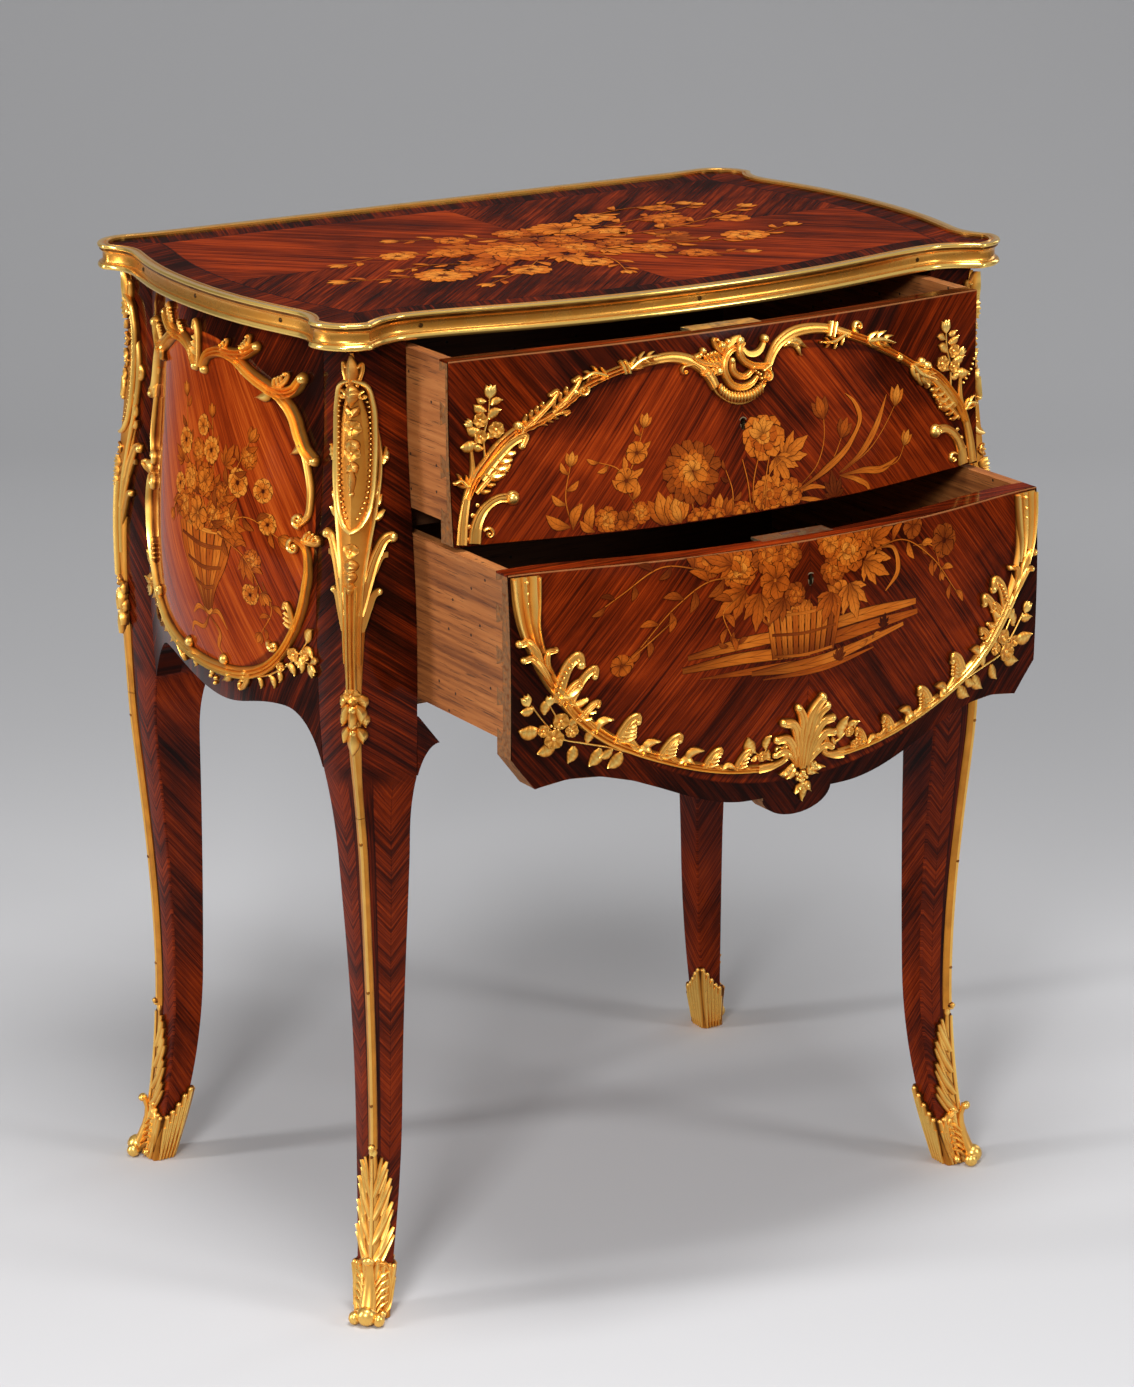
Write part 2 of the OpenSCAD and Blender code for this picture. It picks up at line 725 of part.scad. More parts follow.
rib_end_z = sabot_leaf_z + 0.5;
module leg_rib(side, depth) {
    steps = 18;
    top = corner_mount_end - 0.5;
    widths = [[rib_end_z, rib_w], [top, rib_w]];
    reliefs = [[rib_end_z, rib_relief], [top, rib_relief]];
    levels = [for (i = [0:steps]) top + (rib_end_z - top) * i / steps];
    color(gilt) at_corner(side, depth) arris_strip(levels, widths, reliefs);
}

// Foot mount: a cup round the end of the leg, a leaf up the arris and a scrolled toe
module sabot(side, depth) {
    leaf_steps = 8;
    fit = mount_gap;
    cup = [sabot_cup_z, 0.6 * sabot_cup_z, 0.25 * sabot_cup_z, leg_foot];
    leaf_base = sabot_cup_z - 14;
    leaf_levels = [
        for (i = [0:leaf_steps]) sabot_leaf_z + (leaf_base - sabot_leaf_z) * i / leaf_steps
    ];
    leaf_widths = [[leaf_base, 21], [sabot_cup_z + 20, 15], [sabot_leaf_z - 24, 10], [sabot_leaf_z, 3]];
    leaf_reliefs = [[leaf_base, 4], [sabot_cup_z + 15, 2.5], [sabot_leaf_z, 1.5]];
    color(gilt) at_corner(side, depth) union() {
        loft(concat(
            [for (i = [len(cup) - 1:-1:0]) leg_ring(cup[i], fit)],
            [for (z = cup) leg_ring(z, fit + sabot_wall)],
            [[for (p = leg_ring(0, fit + sabot_wall)) [p[0], p[1], 0]]]
        ));
        arris_strip(leaf_levels, leaf_widths, leaf_reliefs);
        difference() {
            translate([toe_x, toe_y, toe_r]) rotate([0, 0, 45]) {
                rotate([90, 0, 0]) cylinder(r = toe_r, h = 2 * toe_half, center = true);
                for (s = [-1, 1]) translate([0, s * toe_half, 0]) sphere(r = 0.62 * toe_r);
                translate([-toe_reach, -toe_r, -toe_r]) cube([toe_reach, 2 * toe_r, 1.6 * toe_r]);
            }
            loft([leg_ring(3 * toe_r, fit), leg_ring(leg_foot, fit)]);
        }
    }
}

// A gilt frame on the side surface, round the oval field
side_frame_z = (board_z + side_arch_z) / 2 - 6;
side_frame_half_h = (board_z - side_arch_z) / 2 - 12;
side_frame_half_y = post_in_y - 5;
module side_frame(side) {
    steps = 48;
    lanes = [-1, 0, 1];
    notch = 18;
    function centre(a) = [
        side_frame_half_y * cos(a),
        side_frame_z + side_frame_half_h * sin(a) - (sin(a) > 0 ? notch * max(0, 1 - abs(cos(a)) / 0.2) : 0)
    ];
    function place(i, lane) =
        let (a = 360 * i / steps, c = centre(a), out = [cos(a), sin(a)])
        c - out * lane * side_frame_w;
    color(gilt) at_side(side)
        pad(
            [for (i = [0:steps - 1]) [
                for (t = lanes)
                    let (p = place(i, t))
                    [side_x(p[0], p[1]) + mount_gap + mount_edge + side_frame_relief * (1 - t * t), p[0], p[1]]
            ]],
            [for (i = [0:steps - 1]) [
                for (t = lanes)
                    let (p = place(i, t))
                    [side_x(p[0], p[1]) + mount_gap, p[0], p[1]]
            ]],
            loop = true
        );
}

// Drawer fronts
module front_solid(stations, foot, top, in_y, rows) {
    function level(x, k) = let (z = foot[search(x, stations)[0]]) z + (top - z) * k / rows;
    pad(
        [for (x = stations) [for (k = [0:rows]) [x, -front_y(x, level(x, k)), level(x, k)]]],
        [for (x = stations) [
            for (k = [0:rows]) [x, -inner_y(x, level(x, k), in_y), level(x, k)]
        ]]
    );
}

// Dovetails at the front end of a drawer side, and their sockets when grown
module tails(count, base, h, in_y, grow) {
    pitch = h / count;
    narrow = pitch * 0.27;
    wide = pitch * 0.36;
    for (side = [-1, 1])
        translate([side * (drawer_half - side_t / 2), 0, 0])
            rotate([90, 0, 90])
                for (i = [0:count - 1])
                    translate([0, base + pitch * (i + 0.5), 0])
                        linear_extrude(side_t + 2 * grow, center = true)
                            polygon([
                                [-in_y + 1, -narrow - grow], [-in_y, -narrow - grow],
                                [-in_y - tail_len - grow, -wide - grow],
                                [-in_y - tail_len - grow, wide + grow],
                                [-in_y, narrow + grow], [-in_y + 1, narrow + grow]
                            ]);
}

tail_fit = 0.15;
module drawer_front(stations, foot, top, rows, in_y, count, base, h, key_drop) {
    fit = 0.2;
    difference() {
        front_solid(stations, foot, top, in_y, rows);
        tails(count, base, h, in_y, tail_fit);
        lock_body(top, in_y, key_drop, fit);
        keyhole_solid(top, key_drop, liner_wall + fit / 2, 2, upper_front_t + bow(top));
    }
}

upper_stations = [for (t = face_run) drawer_half * t];
module upper_front() {
    color(kingwood)
        drawer_front(
            upper_stations, [for (x = upper_stations) upper_front_base], upper_top, 9, upper_in_y,
            upper_tails, upper_base, upper_side_h, upper_key_drop
        );
}

lower_half_stations = concat(
    [0], [for (a = [25, 48, 70, 82]) pendant_r * sin(a)], [pendant_r, pendant_r + 9],
    [for (i = [1:7]) pendant_r + 10 + (tip_x - pendant_r - 10) * i / 7],
    [(tip_x + drawer_half) / 2, drawer_half]
);
lower_stations = concat(
    [for (i = [len(lower_half_stations) - 1:-1:1]) -lower_half_stations[i]], lower_half_stations
);
module lower_front() {
    color(kingwood)
        drawer_front(
            lower_stations, [for (x = lower_stations) apron_edge(x)], lower_top, 11, lower_in_y,
            lower_tails, lower_base, lower_side_h, lower_key_drop
        );
}

// Drawer boxes
module drawer_side(side, count, base, h, in_y) {
    color(oak) difference() {
        union() {
            translate([side > 0 ? drawer_half - side_t : -drawer_half, -in_y, base])
                cube([side_t, in_y + box_end_y, h]);
            intersection() {
                tails(count, base, h, in_y, 0);
                translate([side > 0 ? 0 : -2 * corner_x, -2 * corner_y, 0])
                    cube([2 * corner_x, 3 * corner_y, height]);
            }
        }
        translate([side * (drawer_half - side_t) - groove, -in_y - 1, base + bottom_lift])
            cube([2 * groove, in_y + box_end_y + 2, bottom_t]);
    }
}

module drawer_back(base, h) {
    foot = base + bottom_lift + bottom_t;
    half = drawer_half - side_t;
    color(oak)
        translate([-half, box_end_y - drawer_back_t, foot])
            cube([2 * half, drawer_back_t, base + h - drawer_back_drop - foot]);
}

module drawer_bottom(base, in_y) {
    half = drawer_half - side_t + groove - 0.2;
    fit = 0.5;
    low_z = base + bottom_lift;
    front = [
        for (t = face_run) [half * t, fit - inner_least(half * t, low_z, low_z + bottom_t, in_y)]
    ];
    color(oak)
        translate([0, 0, base + bottom_lift + 0.1])
            linear_extrude(bottom_t - 0.2)
                polygon(concat(front, [[half, box_end_y], [-half, box_end_y]]));
}

// Locks: the plate shows on the top edge of the front, and the case is let into its back
function lock_y(top, in_y) = -inner_y(0, top, in_y) - lock_in;
function bolt_y(top, in_y) = lock_y(top, in_y) + lock_depth * 0.7;
module lock_body(top, in_y, key_drop, grow) {
    h = key_drop + case_below_key;
    translate([0, lock_y(top, in_y), top]) {
        translate([-plate_half - grow, -grow, -plate_t - grow])
            cube([2 * (plate_half + grow), lock_depth + 2 * grow, plate_t + (grow > 0 ? 1 : 0) + grow]);
        translate([-case_half - grow, -grow, -h - grow])
            cube([2 * (case_half + grow), lock_depth + 2 * grow, h - plate_t + 2 * grow]);
    }
}

module bolt_shape(top, in_y, grow, below, above) {
    translate([0, bolt_y(top, in_y), top])
        translate([-bolt_w / 2 - grow, -bolt_t / 2 - grow, -below])
            cube([bolt_w + 2 * grow, bolt_t + 2 * grow, below + above]);
}

module bolt_mortise(top, in_y, underside) {
    bolt_shape(top, in_y, bolt_gap, 1 - (underside - top), bolt_throw + 1);
}

module lock(top, in_y, key_drop) {
    color(brass) difference() {
        lock_body(top, in_y, key_drop, 0);
        bolt_shape(top, in_y, bolt_gap, bolt_h + bolt_gap, 1);
    }
}

module bolt(top, in_y) {
    color(steel) bolt_shape(top, in_y, 0, bolt_h, 0);
}

// Keyhole: a round hole over a slot, cut from the face of the front towards the lock
module keyhole_plan(grow) {
    circle(r = key_r + grow);
    translate([-key_r * 0.55 - grow, -key_r * 2.4 - grow]) square([key_r * 1.1 + 2 * grow, key_r * 2.4]);
}

module keyhole_solid(top, key_drop, grow, proud, deep) {
    z = top - key_drop;
    translate([0, -front_y(0, z) - proud, z])
        rotate([90, 0, 0]) translate([0, 0, -proud - deep]) linear_extrude(proud + deep) keyhole_plan(grow);
}

module keyhole(top, key_drop) {
    proud = 0.4;
    deep = 4;
    color(brass) difference() {
        keyhole_solid(top, key_drop, liner_wall, proud, deep);
        keyhole_solid(top, key_drop, 0, proud + 1, deep + 3);
    }
}

// The pieces of the two drawers
module upper_side(side) {
    drawer_side(side, upper_tails, upper_base, upper_side_h, upper_in_y);
}

module lower_side(side) {
    drawer_side(side, lower_tails, lower_base, lower_side_h, lower_in_y);
}

module upper_back() {
    drawer_back(upper_base, upper_side_h);
}

module lower_back() {
    drawer_back(lower_base, lower_side_h);
}

module upper_bottom() {
    drawer_bottom(upper_base, upper_in_y);
}

module lower_bottom() {
    drawer_bottom(lower_base, lower_in_y);
}

module upper_lock() {
    lock(upper_top, upper_in_y, upper_key_drop);
}

module lower_lock() {
    lock(lower_top, lower_in_y, lower_key_drop);
}

module upper_bolt() {
    bolt(upper_top, upper_in_y);
}

module lower_bolt() {
    bolt(lower_top, lower_in_y);
}

module upper_keyhole() {
    keyhole(upper_top, upper_key_drop);
}

module lower_keyhole() {
    keyhole(lower_top, lower_key_drop);
}

// Gilt arms that follow an ellipse on a drawer front, between two turns round it
module arm(side, centre_z, half_x, half_z, power, turn) {
    steps = 26;
    lanes = [-1, 0, 1];
    function place(i, lane) =
        let (
            a = turn[0] + (turn[1] - turn[0]) * i / steps,
            c = cos(a),
            s = sin(a),
            p = [half_x * pow(abs(c), power), centre_z + half_z * sign(s) * pow(abs(s), power)],
            out = [c, s]
        )
        p - out * lane * arm_w;
    color(gilt) at_side(side) mirror([0, 1, 0])
        pad(
            [for (i = [steps:-1:0]) [
                for (t = lanes)
                    let (p = place(i, t))
                    [p[0], front_y(p[0], p[1]) + mount_gap + mount_edge + arm_relief * (1 - t * t), p[1]]
            ]],
            [for (i = [steps:-1:0]) [
                for (t = lanes)
                    let (p = place(i, t))
                    [p[0], front_y(p[0], p[1]) + mount_gap, p[1]]
            ]]
        );
}

// The upper arms rise from the lower corners of the front, and the lower ones hang from its top
upper_arch_h = upper_top - upper_front_base - 14;
upper_turn = [4, 81];
arm_half_x = drawer_half - arm_w - 4;
module upper_mount(side) {
    arm(side, upper_front_base, arm_half_x, upper_arch_h, 0.83, upper_turn);
}

arm_drop = 2;
lower_hang = lower_top - apron_z - 14;
lower_turn = [-3, -82];
module lower_mount(side) {
    arm(side, lower_top - arm_drop, arm_half_x, lower_hang, 1, lower_turn);
}

// A rounded gilt boss on a drawer front, with a fluted edge
module boss(mid_z, half, lobes) {
    steps = 32;
    rings = [1, 0.6, 0.08];
    function place(i, r) =
        let (a = 360 * i / steps, f = 1 - 0.12 * (1 - cos(lobes * a)) / 2)
        [r * f * half[0] * cos(a), mid_z + r * f * half[1] * sin(a)];
    color(gilt)
        pad(
            [for (i = [0:steps - 1]) [
                for (r = rings)
                    let (p = place(i, r))
                    [
                        p[0],
                        -front_y(p[0], p[1]) - mount_gap - mount_edge - (boss_relief - mount_edge) * (1 - r * r),
                        p[1]
                    ]
            ]],
            [for (i = [0:steps - 1]) [
                for (r = rings)
                    let (p = place(i, r))
                    [p[0], -front_y(p[0], p[1]) - mount_gap, p[1]]
            ]],
            loop = true
        );
}

cartouche_half = [30, 21];
cartouche_lobes = 10;
module upper_cartouche() {
    boss(upper_top - 9 - cartouche_half[1], cartouche_half, cartouche_lobes);
}

shell_half = [25, 40];
shell_lobes = 8;
module lower_shell() {
    boss(apron_z - 5 + shell_half[1], shell_half, shell_lobes);
}

seated() leg(-1, -1);  // leg_front_left
seated() leg(1, -1);  // leg_front_right
seated() leg(-1, 1);  // leg_back_left
seated() leg(1, 1);  // leg_back_right
seated() bracket(-1);  // bracket_left
seated() bracket(1);  // bracket_right
seated() side_panel(-1);  // side_panel_left
seated() side_panel(1);  // side_panel_right
seated() back_panel();
seated() bottom_board();
seated() mid_rail();
seated() dust_board();
seated() upper_runner(-1);  // upper_runner_left
seated() upper_runner(1);  // upper_runner_right
seated() lower_guide(-1);  // lower_guide_left
seated() lower_guide(1);  // lower_guide_right
seated() top_board();
seated() top_veneer();
seated() top_rim();
seated() rim_screws();
seated() corner_mount(-1, -1);  // corner_mount_front_left
seated() corner_mount(1, -1);  // corner_mount_front_right
seated() corner_mount(-1, 1);  // corner_mount_back_left
seated() corner_mount(1, 1);  // corner_mount_back_right
seated() leg_rib(-1, -1);  // leg_rib_front_left
seated() leg_rib(1, -1);  // leg_rib_front_right
seated() leg_rib(-1, 1);  // leg_rib_back_left
seated() leg_rib(1, 1);  // leg_rib_back_right
seated() sabot(-1, -1);  // sabot_front_left
seated() sabot(1, -1);  // sabot_front_right
seated() sabot(-1, 1);  // sabot_back_left
seated() sabot(1, 1);  // sabot_back_right
seated() side_frame(-1);  // side_frame_left
seated() side_frame(1);  // side_frame_right
seated() pulled(upper_open) upper_front();
seated() pulled(upper_open) upper_side(-1);  // upper_side_left
seated() pulled(upper_open) upper_side(1);  // upper_side_right
seated() pulled(upper_open) upper_back();
seated() pulled(upper_open) upper_bottom();
seated() pulled(upper_open) upper_lock();
seated() pulled(upper_open) upper_bolt();
seated() pulled(upper_open) upper_keyhole();
seated() pulled(upper_open) upper_mount(-1);  // upper_mount_left
seated() pulled(upper_open) upper_mount(1);  // upper_mount_right
seated() pulled(upper_open) upper_cartouche();
seated() pulled(lower_open) lower_front();
seated() pulled(lower_open) lower_side(-1);  // lower_side_left
seated() pulled(lower_open) lower_side(1);  // lower_side_right
seated() pulled(lower_open) lower_back();
seated() pulled(lower_open) lower_bottom();
seated() pulled(lower_open) lower_lock();
seated() pulled(lower_open) lower_bolt();
seated() pulled(lower_open) lower_keyhole();
seated() pulled(lower_open) lower_mount(-1);  // lower_mount_left
seated() pulled(lower_open) lower_mount(1);  // lower_mount_right
seated() pulled(lower_open) lower_shell();
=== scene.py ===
import math
import random

import bmesh
import bpy
import numpy as np
from mathutils import Matrix, Vector


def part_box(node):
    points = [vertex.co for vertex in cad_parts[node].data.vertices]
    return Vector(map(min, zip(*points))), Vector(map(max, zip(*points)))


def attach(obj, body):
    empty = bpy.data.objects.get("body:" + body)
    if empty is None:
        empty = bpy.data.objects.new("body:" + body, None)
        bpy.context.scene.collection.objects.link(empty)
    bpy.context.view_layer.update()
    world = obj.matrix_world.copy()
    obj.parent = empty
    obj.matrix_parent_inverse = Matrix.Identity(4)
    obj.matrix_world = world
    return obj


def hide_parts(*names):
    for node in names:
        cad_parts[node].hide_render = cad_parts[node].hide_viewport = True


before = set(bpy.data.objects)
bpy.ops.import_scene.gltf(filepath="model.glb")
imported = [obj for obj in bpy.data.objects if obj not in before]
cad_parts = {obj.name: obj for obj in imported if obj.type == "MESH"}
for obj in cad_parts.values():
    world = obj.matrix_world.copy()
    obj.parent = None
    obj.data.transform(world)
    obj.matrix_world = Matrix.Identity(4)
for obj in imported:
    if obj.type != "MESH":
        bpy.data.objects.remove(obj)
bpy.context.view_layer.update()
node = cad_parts
dice = random.Random(7)

# Shapes of the chest: millimetres from the middle of its plan, the front towards -y
chest = dict(cornerX=275, cornerY=176, midY=75.6045, board=750, veneerTop=768, panelInside=262)
pull = dict(upper=58, lower=131)
leg = dict(innerX=240, innerY=148, postX=233, postY=136, ankle=170, knee=360, haunch=466, belly=530,
           shoulder=710, kick=19, ankleIn=8, bellyOut=14.5, haunchOut=6, bracketLow=380,
           bracketHigh=449.3, bracketEnd=427.3, bracketWide=26, haunchWide=52, footX=(8.5, 18.5),
           footY=(6, 17), swellSpan=280.5, overhang=4, spanX=42, spanY=40, arris=1.2,
           edge=(1.6, 0.2), sole=3)
frontSwell = dict(plane=180, half=240, top=14, most=34, foot=20, peak=570, low=416)
sideSwell = dict(plane=276, half=140, top=25, most=32, foot=12, peak=600, low=450)


def ease(t):
    return (1 - np.cos(np.pi * np.clip(t, 0, 1))) / 2


def between(z, low, high, a, b):
    return a + (b - a) * ease((z - low) / (high - low))


def swelling(t):
    t = np.minimum(np.abs(t), 1)
    return (1 - t * t) * (1 - t ** 4)


def kick(z):
    return np.where(z < leg["ankle"], (1 - z / leg["ankle"]) ** 2, 0)


# How far a corner leans out of the upright at a height
def leanX(z):
    low = leg["kick"] * kick(z) - leg["ankleIn"]
    middle = between(z, leg["ankle"], leg["belly"], -leg["ankleIn"], leg["bellyOut"])
    high = between(z, leg["belly"], leg["shoulder"], leg["bellyOut"], 0)
    return np.where(z < leg["ankle"], low, np.where(z < leg["belly"], middle, high)) / math.sqrt(2)


def leanY(z):
    return leanX(z) + between(z, leg["knee"], leg["haunch"], leg["haunchOut"], 0)


def fullness(z, s):
    above = s["most"] - (s["most"] - s["top"]) * (
        (z - s["peak"]) / (chest["board"] - s["peak"])) ** 2
    below = s["most"] - (s["most"] - s["foot"]) * ((s["peak"] - z) / (s["peak"] - s["low"])) ** 2
    return np.where(z > s["peak"], above, below)


def frontY(x, z):
    s = frontSwell
    return s["plane"] + leanY(z) + fullness(z, s) * swelling(x / s["half"])


def sideX(y, z):
    s = sideSwell
    return s["plane"] + leanX(z) + fullness(z, s) * swelling(y / s["half"])


def quarter(z, low, high):
    return 1 - np.sqrt(np.maximum(0, 1 - ((z - low) / (high - low)) ** 2))


def taper(z):
    return (np.maximum(0, leg["knee"] - z) / leg["knee"]) ** 2


def legInX(z):
    curved = leg["innerX"] - leg["bracketWide"] * quarter(z, leg["bracketLow"], leg["bracketHigh"])
    below = leg["innerX"] + leg["footX"][0] * taper(z) + leg["footX"][1] * kick(z)
    return np.where(z > leg["bracketEnd"], leg["postX"],
                    np.where(z > leg["bracketLow"], curved, below))


def legInY(z):
    curved = leg["innerY"] - leg["haunchWide"] * quarter(z, leg["knee"], leg["haunch"])
    below = leg["innerY"] + leg["footY"][0] * taper(z) + leg["footY"][1] * kick(z)
    return np.where(z > leg["haunch"], leg["postY"],
                    np.where(z > leg["knee"], np.maximum(leg["postY"], curved), below))


# The veneered front of a leg swells over its arris, more so above the ankle
def riseAt(z):
    return ease((z - leg["ankle"]) / leg["swellSpan"])


# Lower edge of the lower front: a pendant, two arches, two lobes and the ends' slopes
apron = dict(pendant=30, drop=18, low=416, archStart=40, arch=181, top=455, lobe=214, ends=450.5,
             slope=24.5 / 19)


def apronEdge(x):
    a, p = abs(x), apron
    if a < p["pendant"]:
        return p["low"] - p["drop"] * math.sqrt(1 - (a / p["pendant"]) ** 2)
    if a < p["arch"]:
        return float(between(a, p["archStart"], p["arch"], p["low"], p["top"]))
    if a < p["lobe"]:
        return p["ends"] + (p["top"]
                            - p["ends"]) * (1 - ((a - p["arch"]) / (p["lobe"] - p["arch"])) ** 2)
    return p["ends"] + (a - p["lobe"]) * p["slope"]


def sideApronEdge(y):
    a = abs(y)
    arch = leg["innerY"] - leg["haunchWide"]
    if a < arch:
        return float(between(a, 0, arch, sideSwell["low"], leg["haunch"]))
    share = 1 - (leg["innerY"] - a) / leg["haunchWide"]
    return leg["knee"] + (leg["haunch"] - leg["knee"]) * math.sqrt(max(0, 1 - share ** 2))


def spanned(*values):
    return np.broadcast_arrays(*[np.asarray(value, float) for value in values])


# A face of the chest: u runs to the right and v upwards as it is looked at, h stands off it
class Face:
    def __init__(self, spot, turned=1):
        self.spot, self.turned = spot, turned

    def at(self, u, v, h):
        u, v, h = spanned(u, v, h)
        d = 0.5
        across = self.spot(u + d, v) - self.spot(u - d, v)
        upward = self.spot(u, v + d) - self.spot(u, v - d)
        out = np.cross(across, upward) * self.turned
        out /= np.linalg.norm(out, axis=-1, keepdims=True)
        return self.spot(u, v) + out * h[..., None]


def drawerFace(out):
    return Face(lambda u, v: np.stack([u, -frontY(u, v) - out, v], -1))


def sideFace(side):
    return Face(lambda u, v: np.stack([side * sideX(u, v), -u, v], -1), -side)


def cornerFace(side, depth):  # u > 0 runs over the front or back of a corner, u < 0 over its side
    def spot(u, v):
        arrisX, arrisY = chest["cornerX"] + leanX(v), chest["cornerY"] + leanY(v)
        rise = riseAt(v)
        overX = arrisX - np.maximum(u, 0) + rise * np.maximum(-u, 0) / leg["spanY"]
        overY = arrisY - np.maximum(-u,
                                    0) + leg["overhang"] * rise * np.maximum(u, 0) / leg["spanX"]
        return np.stack([side * overX, depth * overY, v], -1)

    class Corner(Face):
        def at(self, u, v, h):
            u, v, h = spanned(u, v, h)
            turn = (np.clip(u / 10, -1, 1) + 1) * math.pi / 4
            out = np.stack([side * np.cos(turn), depth * np.sin(turn), np.zeros_like(u)], -1)
            return self.spot(u, v) + out * h[..., None]
    return Corner(spot, 1 if side == depth else -1)


topFace = Face(lambda u, v: np.stack([u, v, np.full_like(u, chest["veneerTop"])], -1))
upperFace, lowerFace = drawerFace(pull["upper"]), drawerFace(pull["lower"])


# A shell gathers closed forms and becomes one piece
class Shell:
    def __init__(self):
        self.points, self.faces, self.form, self.count = [], [], [], 0

    def add(self, points, faces, form):
        points = np.asarray(points, float).reshape(-1, 3)
        self.faces += [tuple(int(i) + self.count for i in f) for f in faces]
        self.points.append(points)
        self.form.append(np.asarray(form, float).reshape(-1, 3))
        self.count += len(points)

    # Two sheets of points, joined round their edges
    def grid(self, top, under, form):
        n, m = top.shape[:2]
        base = n * m
        faces = []
        for i in range(n - 1):
            a, b = i * m, (i + 1) * m
            for k in range(m - 1):
                faces.append((a + k, b + k, b + k + 1, a + k + 1))
                faces.append((base + a + k, base + a + k + 1, base + b + k + 1, base + b + k))
            faces.append((a, base + a, base + b, b))
            faces.append((a + m - 1, b + m - 1, base + b + m - 1, base + a + m - 1))
        z = (n - 1) * m
        for k in range(m - 1):
            faces.append((k, k + 1, base + k + 1, base + k))
            faces.append((z + k + 1, z + k, base + z + k, base + z + k + 1))
        self.add(np.concatenate([top.reshape(-1, 3), under.reshape(-1, 3)]), faces,
                 np.concatenate([form.reshape(-1, 3)] * 2))

    # A ribbon of rows with a narrow underside
    def ribbon(self, top, under, form):
        n, m = top.shape[:2]
        base = n * m
        faces = []
        for i in range(n - 1):
            a, b, c = i * m, (i + 1) * m, base + 2 * i
            faces += [(a + k, b + k, b + k + 1, a + k + 1) for k in range(m - 1)]
            faces += [(a, c, c + 2, b), (a + m - 1, b + m - 1, c + 3, c + 1),
                      (c, c + 1, c + 3, c + 2)]
        z, c = (n - 1) * m, base + 2 * (n - 1)
        faces += [tuple(range(m)) + (base + 1, base), tuple(range(z + m - 1, z - 1, -1))
                  + (c, c + 1)]
        self.add(np.concatenate([top.reshape(-1, 3), under.reshape(-1, 3)]), faces,
                 np.concatenate([form.reshape(-1, 3), form[:, [0, -1]].reshape(-1, 3)]))

    def rings(self, rings, form, closed=False):
        n, m = rings.shape[:2]
        faces = []
        for i in range(n if closed else n - 1):
            a, b = i * m, (i + 1) % n * m
            faces += [(a + k, a + (k + 1) % m, b + (k + 1) % m, b + k) for k in range(m)]
        if not closed:
            faces += [tuple(range(m - 1, -1, -1)), tuple((n - 1) * m + k for k in range(m))]
        self.add(rings, faces, form)

    def build(self, name, body, slot, finish, replaced=(), sharp=40):
        points = np.concatenate(self.points) + np.array([0, chest["midY"], 0])
        mesh = bpy.data.meshes.new(name)
        mesh.from_pydata((points / 1000).tolist(), [], self.faces)
        mesh.attributes.new("form", "FLOAT_VECTOR",
                            "POINT").data.foreach_set("vector", np.concatenate(self.form).ravel())
        mesh.materials.append(finish)
        shape = bmesh.new()
        shape.from_mesh(mesh)
        bmesh.ops.recalc_face_normals(shape, faces=shape.faces)
        shape.to_mesh(mesh)
        shape.free()
        mesh.shade_smooth()
        mesh.set_sharp_from_angle(angle=math.radians(sharp))
        piece = bpy.data.objects.new(name, mesh)
        bpy.context.scene.collection.objects.link(piece)
        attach(piece, body)
        if replaced:
            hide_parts(*replaced)
        return piece


# Shader maths: a link is a socket that takes part in Python expressions
class Link:
    def __init__(self, paint, socket):
        self.paint, self.socket = paint, socket

    def join(self, operation, a, b=0.0):
        return self.paint.node("ShaderNodeMath", {"operation": operation}, {0: a, 1: b})

    def __add__(self, other):
        return self.join("ADD", self, other)

    def __radd__(self, other):
        return self.join("ADD", other, self)

    def __sub__(self, other):
        return self.join("SUBTRACT", self, other)

    def __rsub__(self, other):
        return self.join("SUBTRACT", other, self)

    def __mul__(self, other):
        return self.join("MULTIPLY", self, other)

    def __rmul__(self, other):
        return self.join("MULTIPLY", other, self)

    def __truediv__(self, other):
        return self.join("DIVIDE", self, other)

    def __pow__(self, other):
        return self.join("POWER", self, other)

    def __abs__(self):
        return self.join("ABSOLUTE", self)

    def __gt__(self, other):
        return self.join("GREATER_THAN", self, other)

    def __lt__(self, other):
        return self.join("LESS_THAN", self, other)

    def least(self, other):
        return self.join("MINIMUM", self, other)

    def whole(self):
        return self.join("FLOOR", self)

    def rest(self):
        return self.join("FRACT", self)


def rgb(red, green, blue):
    return tuple(((c / 255 + 0.055) / 1.055) ** 2.4 if c > 10 else c / 3294.6
                 for c in (red, green, blue)) + (1.0,)


